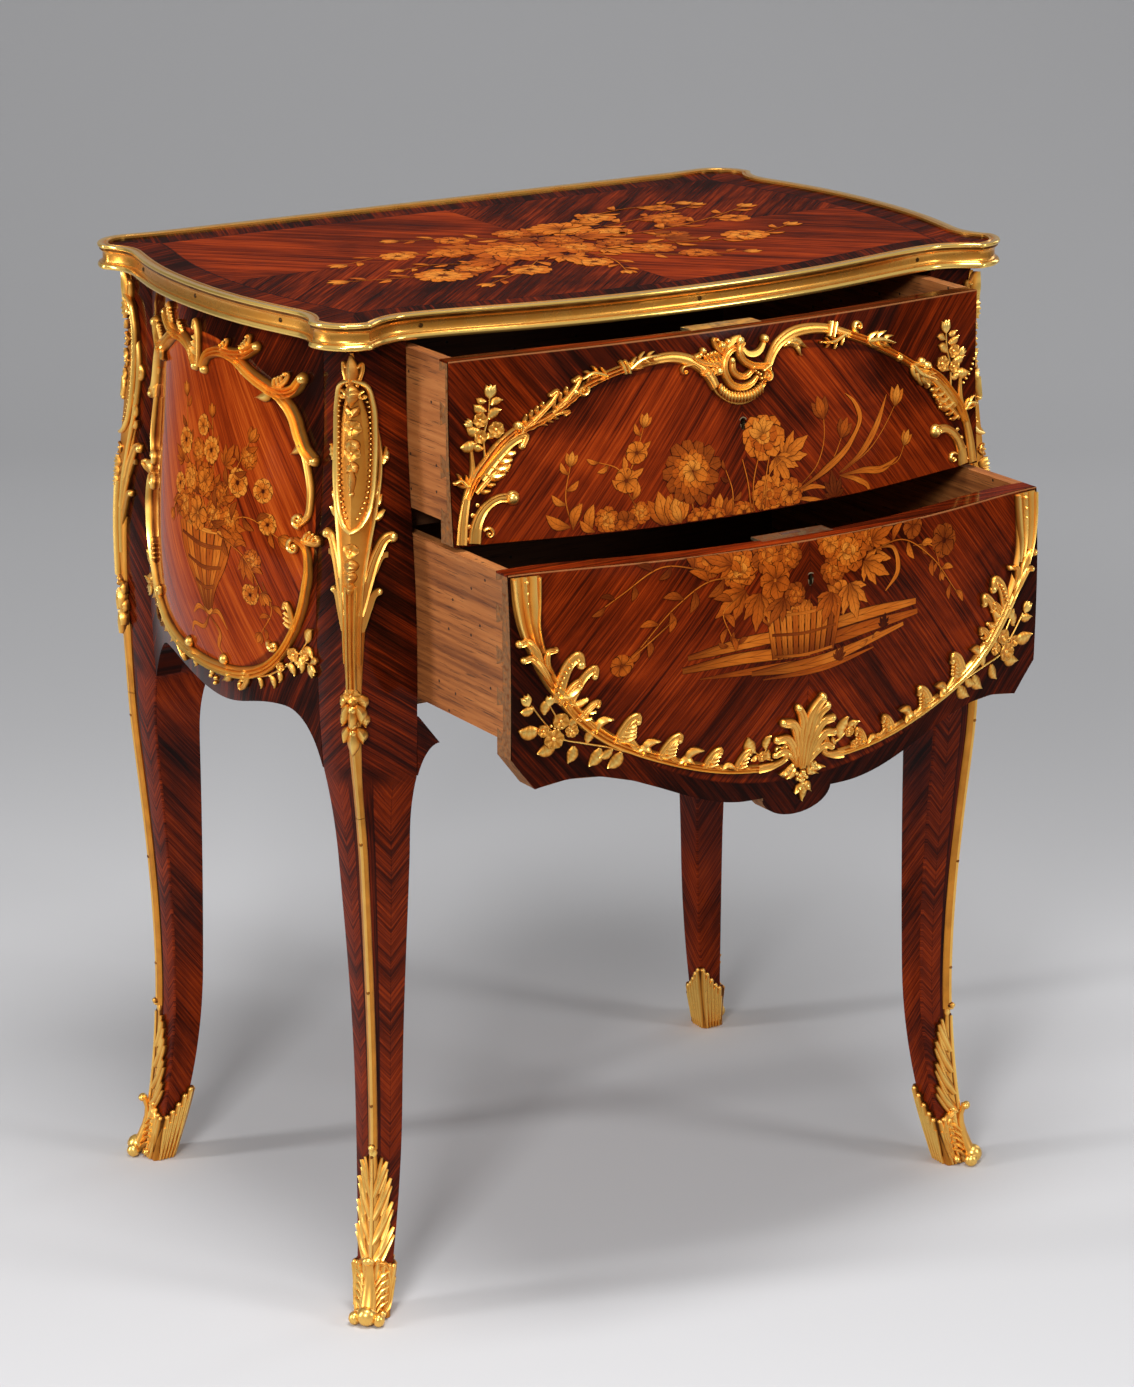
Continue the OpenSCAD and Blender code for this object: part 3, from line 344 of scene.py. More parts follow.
class Paint:
    def __init__(self, name, owner=None):
        self.material = owner or bpy.data.materials.new(name)
        self.material.use_nodes = True
        self.tree = self.material.node_tree
        self.tree.nodes.clear()

    def node(self, kind, settings=None, inputs=None, out=0):
        made = self.tree.nodes.new(kind)
        for key, value in (settings or {}).items():
            if key == "stops":
                while len(made.color_ramp.elements) < len(value):
                    made.color_ramp.elements.new(0.5)
                for stop, (place, colour) in zip(made.color_ramp.elements, value):
                    stop.position, stop.color = place, colour
            else:
                setattr(made, key, value)
        for key, value in (inputs or {}).items():
            if isinstance(value, Link):
                self.tree.links.new(value.socket, made.inputs[key])
            else:
                made.inputs[key].default_value = value
        return Link(self, made.outputs[out])

    def place(self):
        spot = self.node("ShaderNodeTexCoord", out="Object")
        return [self.part(spot, i) for i in range(3)]

    def part(self, vector, index):
        return self.node("ShaderNodeSeparateXYZ", {}, {0: vector}, index)

    def form(self):
        spot = self.node("ShaderNodeAttribute", {"attribute_name": "form"}, out="Vector")
        return [self.part(spot, i) for i in range(3)]

    def vector(self, x, y, z=0.0):
        return self.node("ShaderNodeCombineXYZ", {}, {0: x, 1: y, 2: z})

    def noise(self, vector, scale=1.0, detail=3.0, rough=0.55, bend=0.0):
        return self.node("ShaderNodeTexNoise", {},
                         {"Vector": vector, "Scale": scale, "Detail": detail, "Roughness": rough,
                          "Distortion": bend})

    def ramp(self, value, stops, smooth="LINEAR"):
        made = self.node("ShaderNodeValToRGB", {"stops": stops}, {0: value})
        made.socket.node.color_ramp.interpolation = smooth
        return made

    def tones(self, value, palette, **places):
        return self.ramp(value, [(place, rgb(*palette[key])) for key, place in places.items()])

    def fade(self, value, low, high, a=0.0, b=1.0):
        return self.node("ShaderNodeMapRange", {"interpolation_type": "SMOOTHSTEP"},
                         {0: value, 1: low, 2: high, 3: a, 4: b})

    def mix(self, share, a, b):
        return self.node("ShaderNodeMix", {"data_type": "RGBA"}, {0: share, 6: a, 7: b}, 2)

    def surface(self, colour, rough, height=None, depth=0.0003, strength=0.5, **values):
        inputs = {"Base Color": colour, "Roughness": rough}
        inputs.update({key.replace("_", " "): value for key, value in values.items()})
        if height is not None:
            relief = {"Strength": strength, "Distance": depth, "Height": height}
            inputs["Normal"] = self.node("ShaderNodeBump", {}, relief)
        shader = self.node("ShaderNodeBsdfPrincipled", {}, inputs)
        end = self.tree.nodes.new("ShaderNodeOutputMaterial")
        self.tree.links.new(shader.socket, end.inputs["Surface"])
        return self.material


# Colours laid over the woods: glue lines, the painted shade along the mounts, a painted highlight
# on the arrises, scorching, cuts, pores, painted shade for the inside parts and worm holes
tints = dict(jointAndShade=(24, 10, 8), legJoint=(22, 9, 6), topJoint=(22, 8, 5), arrisHighlight=(190, 124, 74),
             scorch=(88, 30, 8), cut=(42, 13, 4), pore=(64, 36, 18), aged=(30, 14, 7),
             worm=(26, 16, 10))


# Woods: along and across are metres in the direction of the grain and square to it
def streaks(paint, along, across, deep=0.0):
    cloud = paint.noise(paint.vector(along * 8, across * 15, deep), 1, 3, 0.5, 0.6)
    broad = paint.noise(paint.vector(along * 2.6, across * 110, deep), 1, 3, 0.6, 0.5)
    narrow = paint.noise(paint.vector(along * 7, across * 520, deep), 1, 4, 0.65, 0.3)
    hair = paint.noise(paint.vector(along * 30, across * 1300, deep), 1, 3, 0.65)
    return cloud * 0.26 + broad * 0.24 + narrow * 0.27 + hair * 0.23


# Grain that leans by an angle from the run of side towards up
def leaning(paint, side, up, degrees, deep):
    c, s = math.cos(math.radians(degrees)), math.sin(math.radians(degrees))
    return streaks(paint, side * c + up * s, side * s - up * c, deep)


kingwood = dict(deepest=(27, 7, 3), dark=(62, 17, 5), mid=(104, 31, 7), warm=(146, 50, 11),
                light=(188, 84, 24))


def kingwoodColour(paint, grain, shift=0.0):
    return paint.tones(grain + shift, kingwood, deepest=0.38, dark=0.45, mid=0.51, warm=0.58,
                       light=0.68)


polish = dict(Coat_Roughness=0.07, Coat_IOR=1.5, Specular_IOR_Level=0.0)


# The coat shows most where the surface turns away from the eye
def polished(paint, colour, grain, rough=0.34, coat=0.16, sheen=0.0):
    ripple = paint.noise(paint.vector(*paint.place()), 14, 2)
    if sheen:
        turned = paint.node("ShaderNodeLayerWeight", {}, {"Blend": 0.5}, "Facing")
        coat = paint.fade(turned, 0.5, 0.85, coat, sheen)
    return paint.surface(colour, rough + 0.1 * grain, grain * 0.25 + ripple, 0.0004, 0.25,
                         Coat_Weight=coat, **polish)


# Veneer on a drawer front: quartered grain, another way outside the curve of the gilt arms
def frontVeneer(name, centreZ, halfX, halfZ, power, shift, border, top):
    paint = Paint(name)
    x, y, z = paint.place()
    side = abs(x)
    down = abs(z - centreZ / 1000)
    inside = (side * (1000 / halfX)) ** (2 / power) + (down * (1000 / halfZ)) ** (2 / power)
    inner, outer = leaning(paint, side, z, 130, 0.2), leaning(paint, side, z, 50, 3.1)
    field = paint.fade(inside, 1.02, 1.0)
    figure = (paint.noise(paint.vector(x * 7, y, z * 11), 1, 3, 0.6, 0.8) - 0.5) * 0.22
    warm = kingwoodColour(paint, inner + figure, shift)
    dark = kingwoodColour(paint, outer + figure * 0.5, border)
    colour = paint.mix(field, dark, warm)
    # A dark line just inside the curve of the gilt arms: partly old polish round the mounts, partly
    # painted shade of the mounts on the veneer
    line = paint.fade(abs(inside - 0.94), 0.05, 0.02)
    seam = paint.fade(side, 0.0006, 0.0002)
    colour = paint.mix(line * 0.5 + seam * 0.4, colour, rgb(*tints["jointAndShade"]))
    # A pale line painted just under the top edge: a painted highlight along the arris
    colour = paint.mix(paint.fade(z, top - 0.0012, top - 0.0006) * 0.55, colour,
                       rgb(*tints["arrisHighlight"]))
    return polished(paint, colour, inner * field + outer * (1 - field), coat=0.1)


frontEdges = dict(upperFoot=612.5, upperTop=746, lowerTop=609)
upperField = dict(centreZ=612.5, halfX=222, halfZ=119.5, power=0.83, shift=0.004, border=-0.035,
                  top=frontEdges["upperTop"] / 1000)
lowerField = dict(centreZ=607, halfX=222, halfZ=179, power=1, shift=-0.022, border=-0.1,
                  top=frontEdges["lowerTop"] / 1000)
upperVeneer = frontVeneer("kingwoodUpper", **upperField)
lowerVeneer = frontVeneer("kingwoodLower", **lowerField)


sideField = dict(half=131, centreZ=0.602, halfZ=130, power=2.2, line=0.92)


def sideVeneer():
    s = sideField
    paint = Paint("kingwoodSide")
    y, z = paint.place()[1:]
    deep = y - chest["midY"] / 1000
    ring = ((abs(deep) * (1000 / s["half"])) ** s["power"]
            + (abs(z - s["centreZ"]) * (1000 / s["halfZ"])) ** s["power"])
    inner, outer = leaning(paint, deep, z, 58, 1.3), leaning(paint, deep, z, 122, 4.7)
    field = paint.fade(ring, 1.02, 1.0)
    colour = paint.mix(field, kingwoodColour(paint, outer, -0.07),
                       kingwoodColour(paint, inner, 0.085))
    # A dark line just inside the gilt frame: partly old polish round the mount, partly painted
    # shade of the mount on the veneer
    colour = paint.mix(paint.fade(abs(ring - s["line"]), 0.06, 0.02) * 0.6, colour,
                       rgb(*tints["jointAndShade"]))
    return polished(paint, colour, inner * field + outer * (1 - field), coat=0.12, sheen=0.9)


# Legs: form.x runs from 0 on the arris over 1 at the outer corners to 2 at the inner one,
# form.y is the height and form.z the width of a face
def legVeneer():
    paint = Paint("kingwoodLegs")
    share, up, wide = paint.form()
    within = share > 1.0
    reach = share * wide * 0.001
    fold = (abs(share - 0.62) * (1 - within) + (2.0 - share) * within) * wide * 0.001
    rise = up * 0.001
    folded = leaning(paint, rise, fold, 42, 2.2 + within * 3)
    slanted = leaning(paint, rise, reach, 126, 3.4)
    plain = streaks(paint, rise, reach, 9.1)
    post = paint.fade(up, 415, 435)
    strip = paint.fade(share, 0.275, 0.265) * (1 - post)
    colour = paint.mix(post, kingwoodColour(paint, folded, 0.0),
                       kingwoodColour(paint, slanted, -0.06))
    colour = paint.mix(strip, colour, kingwoodColour(paint, plain, -0.06))
    stripJoint = paint.fade(abs(share - 0.27) * wide, 0.8, 0.3)
    joints = stripJoint + paint.fade(abs(share - 0.62) * wide, 0.6, 0.2) * 0.5
    colour = paint.mix(joints * (1 - post) * 0.7, colour, rgb(*tints["legJoint"]))
    return polished(paint, colour, folded, coat=0.16, sheen=0.8)


def plainKingwood():
    paint = Paint("kingwoodPlain")
    x, y, z = paint.place()
    c, s = math.cos(math.radians(36)), math.sin(math.radians(36))
    grain = streaks(paint, abs(x) * c + z * s + y * 0.3, z * c - abs(x) * s + y, 8.0)
    return polished(paint, kingwoodColour(paint, grain, -0.05), grain, 0.4)


# Veneer of the top: four quarters of slanting grain inside a crossbanded border
topField = dict(bowHalf=240, swellHalf=164, front=0.182, bow=0.03, back=0.193, side=0.29,
                swell=0.022, band=0.034, slant=(0.94, 0.34))


def topVeneer():
    f = topField
    paint = Paint("kingwoodTop")
    x, y = paint.place()[:2]
    back = y - chest["midY"] / 1000
    bow, swell = [(1 - t) * (1 - t * t)
                  for t in ((x * (1000 / f["bowHalf"])) ** 2,
                            (back * (1000 / f["swellHalf"])) ** 2)]
    ends = (f["front"] + f["bow"] * bow + back).least(f["back"] - back)
    outerSide = f["side"] + f["swell"] * swell - abs(x)
    margin = ends.least(outerSide)
    quarter = paint.node("ShaderNodeMath", {"operation": "SIGN"}, {0: x * back})
    c = math.sqrt(0.5)
    field = streaks(paint, x * c + back * quarter * c, back * c - x * quarter * c, 5.2)
    m, n = f["slant"]
    across = streaks(paint, back * m + x * n, x * m - back * n, 7.7)
    along = streaks(paint, x * m + back * n, back * m - x * n, 9.1)
    side = outerSide < ends
    band = along * side + across * (1 - side)
    inner = paint.fade(margin, f["band"] - 0.0002, f["band"] + 0.0002)
    colour = paint.mix(inner, kingwoodColour(paint, band, -0.06),
                       kingwoodColour(paint, field - quarter * 0.025, -0.02))
    seam = paint.fade(abs(x).least(abs(back)), 0.0007, 0.0002) * inner
    line = paint.fade(abs(margin - f["band"]), 0.0011, 0.0006)
    colour = paint.mix(seam * 0.5 + line * 0.7, colour, rgb(*tints["topJoint"]))
    return polished(paint, colour, field * inner + band * (1 - inner), 0.42, 0.1)


# Marquetry: the whole part of form.z is the wood, its fraction the way from root to tip
inlayWoods = ((212, 128, 44), (198, 104, 28), (170, 78, 18), (138, 62, 16), (96, 38, 10),
              (60, 20, 6))


def marquetryFinish():
    paint = Paint("marquetry")
    along, across, code = paint.form()
    way, side = code.rest(), abs(across)
    stops = [((k + 0.5) / 6, rgb(*wood)) for k, wood in enumerate(inlayWoods)]
    grain = paint.noise(paint.vector(along * 0.09, across * 4, code.whole() * 3.1), 1, 4, 0.6)
    patch = paint.noise(paint.vector(*paint.place()), 55, 2)
    colour = paint.ramp((code.whole() + 0.5) / 6 + (patch - 0.5) * 0.3 + (grain - 0.5) * 0.24,
                        stops)
    scorch = paint.fade(way, 0.55, 0.0) * 0.7 + paint.fade(across, 0.1, 1.0) * 0.3
    colour = paint.mix(scorch, colour, rgb(*tints["scorch"]))
    ribs = paint.fade(abs((way * 5 - side * 0.9 + 5).rest() - 0.5), 0.09, 0.03) * 0.3
    cuts = paint.fade(side, 0.82, 0.94) * 0.9 + paint.fade(side, 0.1, 0.03) * 0.5 + ribs
    colour = paint.mix(cuts, colour, rgb(*tints["cut"]))
    return polished(paint, colour, grain, 0.4, 0.1)


oakWood = dict(pale=(190, 122, 64), mid=(160, 94, 44), dark=(112, 60, 26), grey=(126, 90, 60))


# Oak: flat grain, dark pores, a grey bloom and a few worm holes, with painted shade for the inside
# parts
def oakFinish(name, grainAxis, shade=0.0, aged=0.0):
    paint = Paint(name)
    spot = paint.place()
    along = spot[grainAxis]
    across, deep = [spot[i] for i in range(3) if i != grainAxis]
    cathedral = paint.noise(paint.vector(along * 2.2, across * 22, deep * 22), 1, 4, 0.55, 0.8)
    rays = paint.noise(paint.vector(along * 9, across * 300, deep * 300), 1, 3, 0.6)
    grain = cathedral * 0.6 + rays * 0.4
    colour = paint.tones(grain + shade, oakWood, dark=0.34, mid=0.46, pale=0.62)
    pores = paint.fade(paint.noise(paint.vector(along * 40, across * 1100, deep * 1100), 1, 2),
                       0.58, 0.68)
    colour = paint.mix(pores * 0.7, colour, rgb(*tints["pore"]))
    bloom = paint.fade(paint.noise(paint.vector(*spot), 9, 4, 0.6), 0.45, 0.75)
    colour = paint.mix(bloom * 0.35, colour, rgb(*oakWood["grey"]))
    # Painted shade: the oak of the inside parts is mixed towards near black
    if aged:
        colour = paint.mix(aged, colour, rgb(*tints["aged"]))
    cells = paint.node("ShaderNodeTexVoronoi", {"voronoi_dimensions": "2D"},
                       {"Vector": paint.vector(along, across + deep), "Scale": 30.0})
    holes = paint.fade(cells, 0.04, 0.028)
    colour = paint.mix(holes * 0.9, colour, rgb(*tints["worm"]))
    return paint.surface(colour, 0.55 + 0.15 * rays, rays - pores * 0.6 - holes * 2, 0.0005, 0.5,
                         Specular_IOR_Level=0.3)


# Core of a drawer front: oak under a strip of kingwood along the top edge
def coreFinish(name, top):
    paint = Paint(name)
    x, y, z = paint.place()
    rays = paint.noise(paint.vector(x * 9, y * 260, z * 260), 1, 4, 0.6)
    oak = paint.tones(rays, oakWood, dark=0.3, grey=0.5, mid=0.7)
    grain = streaks(paint, x, y + z * 0.3, 2.0)
    facing = paint.fade(z, top - 0.0016, top - 0.0014)
    colour = paint.mix(facing, oak, kingwoodColour(paint, grain, -0.02))
    return polished(paint, colour, rays * (1 - facing) + grain * facing, 0.4)


# Gilt bronze: form.z is the height in the relief, 0 in the hollows and 1 on the crests; the colour
# darkens towards the hollows as painted shade and pales towards the crests as a painted highlight
bronze = dict(hollow=(96, 50, 11), body=(222, 146, 52), crest=(255, 210, 112))


def giltFinish(name, chased=1.0, burnish=0.0):
    paint = Paint(name)
    high = paint.form()[2]
    spot = paint.vector(*paint.place())
    cloud = paint.noise(spot, 60, 3)
    level = high + (cloud - 0.5) * 0.35
    colour = paint.tones(level, bronze, hollow=0.0, body=0.36, crest=0.95)
    rough = paint.fade(level, 0.25, 0.9, 0.44 - burnish, 0.28 - burnish)
    return paint.surface(colour, rough + (cloud - 0.5) * 0.1 * chased, cloud * 0.5, 0.0003,
                         0.2 * chased, Metallic=0.86)


def metalFinish(name, colour, dull, rough):
    paint = Paint(name)
    spot = paint.vector(*paint.place())
    wear = paint.fade(paint.noise(spot, 180, 4, 0.65), 0.4, 0.7)
    tone = paint.mix(wear, rgb(*colour), rgb(*dull))
    return paint.surface(tone, rough + 0.25 * wear, paint.noise(spot, 700, 2), 0.0002, 0.2,
                         Metallic=1.0)


gilt = giltFinish("giltBronze")
burnished = giltFinish("burnishedGilt", 0.3, 0.13)
screwMetal = metalFinish("darkScrews", (96, 66, 34), (60, 38, 18), 0.35)
brass = metalFinish("lockBrass", (182, 164, 128), (132, 112, 80), 0.32)
steel = metalFinish("boltSteel", (160, 160, 162), (104, 98, 92), 0.32)
legs = legVeneer()
sides = sideVeneer()
topWood = topVeneer()
marquetry = marquetryFinish()
cores = [coreFinish("coreUpper", upperField["top"]), coreFinish("coreLower", lowerField["top"])]
ends = plainKingwood()
oakX = oakFinish("oakAlongX", 0)
insideShadeOak = oakFinish("oakInsideShade", 0, aged=0.78)
oakY = oakFinish("oakAlongY", 1, -0.03)
print("finishes made")


def dress(finish, *names):
    for name in names:
        slots = node[name].material_slots
        if not slots:
            node[name].data.materials.append(finish)
        for slot in slots:
            slot.material = finish


dress(oakX, "back_panel", "bottom_board", "top_board")
# The rails, the dust board and the drawers' backs and bottoms take the oak with painted shade
dress(insideShadeOak, "mid_rail", "dust_board", "upper_back", "lower_back", "upper_bottom", "lower_bottom")
dress(oakY, "upper_runner_left", "upper_runner_right", "lower_guide_left", "lower_guide_right",
      "upper_side_left", "upper_side_right", "lower_side_left", "lower_side_right")
dress(screwMetal, "rim_screws")
dress(brass, "upper_lock", "lower_lock", "upper_keyhole", "lower_keyhole")
dress(steel, "upper_bolt", "lower_bolt")
dress(cores[0], "upper_front")
dress(cores[1], "lower_front")
dress(topWood, "top_veneer")


# Corner posts and legs: a ring with eased edges at every level
def legRing(z):
    rise = float(riseAt(z))
    arrisX, arrisY = chest["cornerX"] + float(leanX(z)), chest["cornerY"] + float(leanY(z))
    inX, inY = float(legInX(z)), float(legInY(z))
    corners = [(arrisX, arrisY), (inX, arrisY + leg["overhang"] * rise), (inX, inY),
               (arrisX + rise, inY)]
    wide = (arrisX - inX + arrisY - inY) / 2
    ring, form = [], []
    for i, p in enumerate(corners):
        before, after = np.subtract(corners[i - 1], p), np.subtract(corners[(i + 1) % 4], p)
        before, after = before / np.linalg.norm(before), after / np.linalg.norm(after)
        soft = (leg["arris"] if i == 0 else leg["edge"][0] if i == 2
                else float(between(z, 430, 470, *leg["edge"])))
        for k in range(5):
            t = k / 4
            q = np.array(p) + before * soft * (1 - t) ** 2 + after * soft * t ** 2
            ring.append((q[0], q[1], z))
            form.append((abs(t - 0.5) * 2 * soft / wide if i == 0 else (1, 2, 1)[i - 1], z, wide))
    return ring, form


def makeLeg(side, depth, where):
    levels = np.concatenate([np.linspace(leg["sole"], 60, 20), np.linspace(64, leg["haunch"], 90),
                             np.linspace(470, chest["board"], 60)])
    made = [legRing(z) for z in levels]
    rings = np.array([r for r, f in made])
    rings[..., 0] *= side
    rings[..., 1] *= depth
    shell = Shell()
    shell.rings(rings, np.array([f for r, f in made]))
    shell.build("leg_" + where, "carcass", "kingwood", legs, ["leg_" + where], sharp=50)


corners = [(-1, -1, "front_left"), (1, -1, "front_right"), (-1, 1, "back_left"),
           (1, 1, "back_right")]
flanks = [(-1, "left"), (1, "right")]
for side, depth, where in corners:
    makeLeg(side, depth, where)


def makeBracket(side, where):
    low, high, post = leg["bracketLow"], leg["bracketHigh"], leg["postX"]
    curved = low + (high - low) * np.sin(np.linspace(1.5, 0.745, 14))
    levels = np.concatenate([np.linspace(472, high, 8), curved])
    rings, form = [], []
    for z in levels:
        inX = leg["innerX"] - leg["bracketWide"] * float(quarter(z, low, high))
        if z > high:
            inX = apron["lobe"] + (z - high) / apron["slope"]
        y = frontSwell["plane"] + float(leanY(z))
        section = ((post, 0), (inX, 0), (inX, 18), (post, 18))
        rings.append([(side * x, back - y, z) for x, back in section])
        reach = chest["cornerX"] - inX
        form.append([(42, z, 42), (reach, z, 60), (reach, z, 60), (42, z, 42)])
    shell = Shell()
    shell.rings(np.array(rings), np.array(form))
    shell.build("bracket_" + where, "carcass", "kingwood", ends, ["bracket_" + where], sharp=30)


for side, where in flanks:
    makeBracket(side, where)


# Swelling side panels
def makeSide(side, where):
    columns = np.linspace(-leg["postY"], leg["postY"], 97)
    feet = np.array([sideApronEdge(y) for y in columns])
    share = np.linspace(0, 1, 61)
    z = feet[:, None] + (chest["board"] - feet[:, None]) * share
    y = np.broadcast_to(columns[:, None], z.shape)
    outer = np.stack([side * sideX(y, z), y, z], -1)
    inner = np.stack([np.full_like(z, side * chest["panelInside"]), y, z], -1)
    shell = Shell()
    shell.grid(outer, inner, np.stack([y, z, z * 0 + 1], -1))
    shell.build("side_panel_" + where, "carcass", "kingwood", sides, ["side_panel_" + where],
                sharp=50)


for side, where in flanks:
    makeSide(side, where)
print("carcass dressed")


# Veneer skins over the two drawer fronts, with a hole round each keyhole
skin = dict(proud=0.6, deep=1.2)


def makeSkin(name, body, out, columns, foot, top, finish):
    feet = np.array([foot(x) for x in columns])
    z = feet[:, None] + (top - feet[:, None]) * np.linspace(0, 1, 49)
    x = np.broadcast_to(np.asarray(columns)[:, None], z.shape)
    y = -frontY(x, z) - out
    outer, inner = np.stack([x, y - skin["proud"], z], -1), np.stack([x, y + skin["deep"], z], -1)
    shell = Shell()
    shell.grid(outer, inner, np.stack([x, z, z * 0 + 1], -1))
    return shell.build(name, body, "kingwood", finish, sharp=50)


frontHalf = leg["postX"] - 0.5
upperColumns = frontHalf * np.linspace(-1, 1, 121)
half = np.concatenate([30 * np.sin(np.linspace(0, math.pi / 2, 10)),
                       np.linspace(33, apron["arch"], 40), np.linspace(184, apron["lobe"], 10),
                       np.linspace(219, frontHalf, 4)])
lowerColumns = np.concatenate([-half[:0:-1], half])
skins = [makeSkin("upper_skin", "upper_drawer", pull["upper"], upperColumns,
                  lambda x: frontEdges["upperFoot"], frontEdges["upperTop"], upperVeneer),
         makeSkin("lower_skin", "lower_drawer", pull["lower"], lowerColumns, apronEdge,
                  frontEdges["lowerTop"], lowerVeneer)]


keyCut = dict(corners=24, round=1.05, inset=0.0002, wide=0.75, high=0.9, past=0.02)


def pierce(front, keyhole):
    n, inset = keyCut["corners"], keyCut["inset"]
    low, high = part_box(keyhole)
    middle = (low + high) / 2
    shape = [(math.cos(a) * keyCut["round"], math.sin(a) * keyCut["round"])
             for a in np.linspace(0, 2 * math.pi, n, endpoint=False)]
    rx, rz = (high.x - low.x) / 2 - inset, (high.z - low.z) / 2 - inset
    cutter = bpy.data.meshes.new("cutter")
    points = [(middle.x + rx * keyCut["wide"] * a, y, middle.z + rz * keyCut["high"] * b)
              for y in (low.y - keyCut["past"], high.y + keyCut["past"]) for a, b in shape]
    faces = [tuple(range(n)), tuple(range(2 * n - 1, n - 1, -1))]
    faces += [(k, n + k, n + (k + 1) % n, (k + 1) % n) for k in range(n)]
    cutter.from_pydata(points, [], faces)
    tool = bpy.data.objects.new("cutter", cutter)
    bpy.context.scene.collection.objects.link(tool)
    cut = front.modifiers.new("cut", "BOOLEAN")
    cut.operation, cut.object, cut.solver = "DIFFERENCE", tool, "EXACT"
    bpy.context.view_layer.update()
    graph = bpy.context.evaluated_depsgraph_get()
    done = bpy.data.meshes.new_from_object(front.evaluated_get(graph))
    front.modifiers.clear()
    front.data = done
    bpy.data.objects.remove(tool)


for front, keyhole in zip(skins, ("upper_keyhole", "lower_keyhole")):
    pierce(front, keyhole)
print("fronts veneered")

# The gilt rim: one moulding swept round the outline of the top
rimShape = dict(earX=270, earFront=164, earBack=167, earRadius=33, sweep=36, bow=30, swell=22,
                base=751, front=(182, 197), side=(290, 303), back=(197, 200))


def swept(neck, edge, reach):
    return neck + (edge - neck) * np.maximum(0, 1 - reach / rimShape["sweep"]) ** 2


def rimOutline(setIn):
    r = rimShape
    frontX = np.concatenate([np.linspace(0, 234, 40), np.linspace(237, 268, 12)])
    front = [(x, setIn - float(swept(*r["front"], r["earX"] - x) + r["bow"] * swelling(x / 240)))
             for x in frontX]
    turn = np.linspace(0, math.pi / 2, 17)
    radius = r["earRadius"] - setIn
    earF = [(r["earX"] + radius * math.sin(a), -r["earFront"] - radius * math.cos(a)) for a in turn]
    sideY = np.concatenate([np.linspace(-162, -128, 12), np.linspace(-124, 128, 40),
                            np.linspace(131, 165, 12)])
    reach = [min(r["earFront"] + y, r["earBack"] - y) for y in sideY]
    side = [(float(swept(*r["side"], far) + r["swell"] * swelling(y / r["earFront"])) - setIn, y)
            for far, y in zip(reach, sideY)]
    earB = [(r["earX"] + radius * math.cos(a), r["earBack"] + radius * math.sin(a)) for a in turn]
    backX = np.concatenate([np.linspace(268, 237, 12), np.linspace(234, 0, 24)])
    back = [(x, float(swept(*r["back"], r["earX"] - x)) - setIn) for x in backX]
    run = front + earF + side + earB + back
    return np.array(run + [(-x, y) for x, y in run[-2:0:-1]])


def rimProfile():
    points = [(7, 0), (1.7, 0)]
    points += [(1.7 - 1.7 * math.sin(a), 2 - 2 * math.cos(a)) for a in np.linspace(0.2, 2.7, 8)]
    points += [(1.5, 4.4)]
    points += [(1.5 + 2.5 * math.sin(a), 7.6 - 3.2 * math.cos(a))
               for a in np.linspace(0.15, 1.5, 6)]
    points += [(4, 10.6)]
    points += [(4 - 2.6 * (1 - math.cos(a)), 10.8 + 3.4 * math.sin(a))
               for a in np.linspace(0.1, 1.5, 6)]
    points += [(1.5, 14.6), (1.5, 16.2), (0.9, 16.3)]
    points += [(0.9 - 0.9 * math.sin(a), 17.7 - 1.35 * math.cos(a))
               for a in np.linspace(0.3, 2.9, 7)]
    points += [(1.4, 19), (5.2, 18.8), (5.6, 18.2), (6.4, 18.2), (6.9, 19), (8.0, 19), (8.5, 18.6),
               (8.5, 16.2), (7, 16.2)]
    return points


profile = rimProfile()
outlines = [rimOutline(p[0]) for p in profile]
rings = np.array([[(*outlines[k][i], rimShape["base"] + p[1]) for k, p in enumerate(profile)]
                  for i in range(len(outlines[0]))])
# the fillets are dark with painted shade, the lip inside is middling and the rest brightens
# outwards towards a painted highlight
level = [0.05 if p[0] == 1.5 else 0.5 if p[0] > 5 else 1 - 0.14 * p[0] for p in profile]
tone = np.array([[(0, 0, v) for v in level]] * len(rings))
rim = Shell()
rim.rings(rings, tone, closed=True)
rim.build("top_rim", "carcass", "gilt", burnished, ["top_rim"], sharp=38)
print("rim made")


# Chased ornament: every form is a closed ribbon or dome that stands on a face
def curve(points, count, even=False):
    p = np.array(points, float)
    step = np.linalg.norm(np.diff(p, axis=0), axis=1)
    d = np.arange(len(p)) * 1.0 if even else np.concatenate([[0], np.cumsum(step)])
    slope = np.gradient(p, d, axis=0) if len(p) > 2 else np.repeat((p[1:] - p[:-1]) / d[1], 2, 0)
    t = np.linspace(0, d[-1], count)
    i = np.clip(np.searchsorted(d, t, side="right") - 1, 0, len(p) - 2)
    w = (d[i + 1] - d[i])[:, None]
    s = (t - d[i])[:, None] / w
    return ((2 * s ** 3 - 3 * s ** 2 + 1) * p[i] + (s ** 3 - 2 * s ** 2 + s) * w * slope[i]
            + (3 * s ** 2 - 2 * s ** 3) * p[i + 1] + (s ** 3 - s ** 2) * w * slope[i + 1])


def spread(values, count):
    if np.isscalar(values):
        return np.full(count, float(values))
    return np.maximum(curve(np.array(values, float)[:, None], count, True)[:, 0], 0.0)


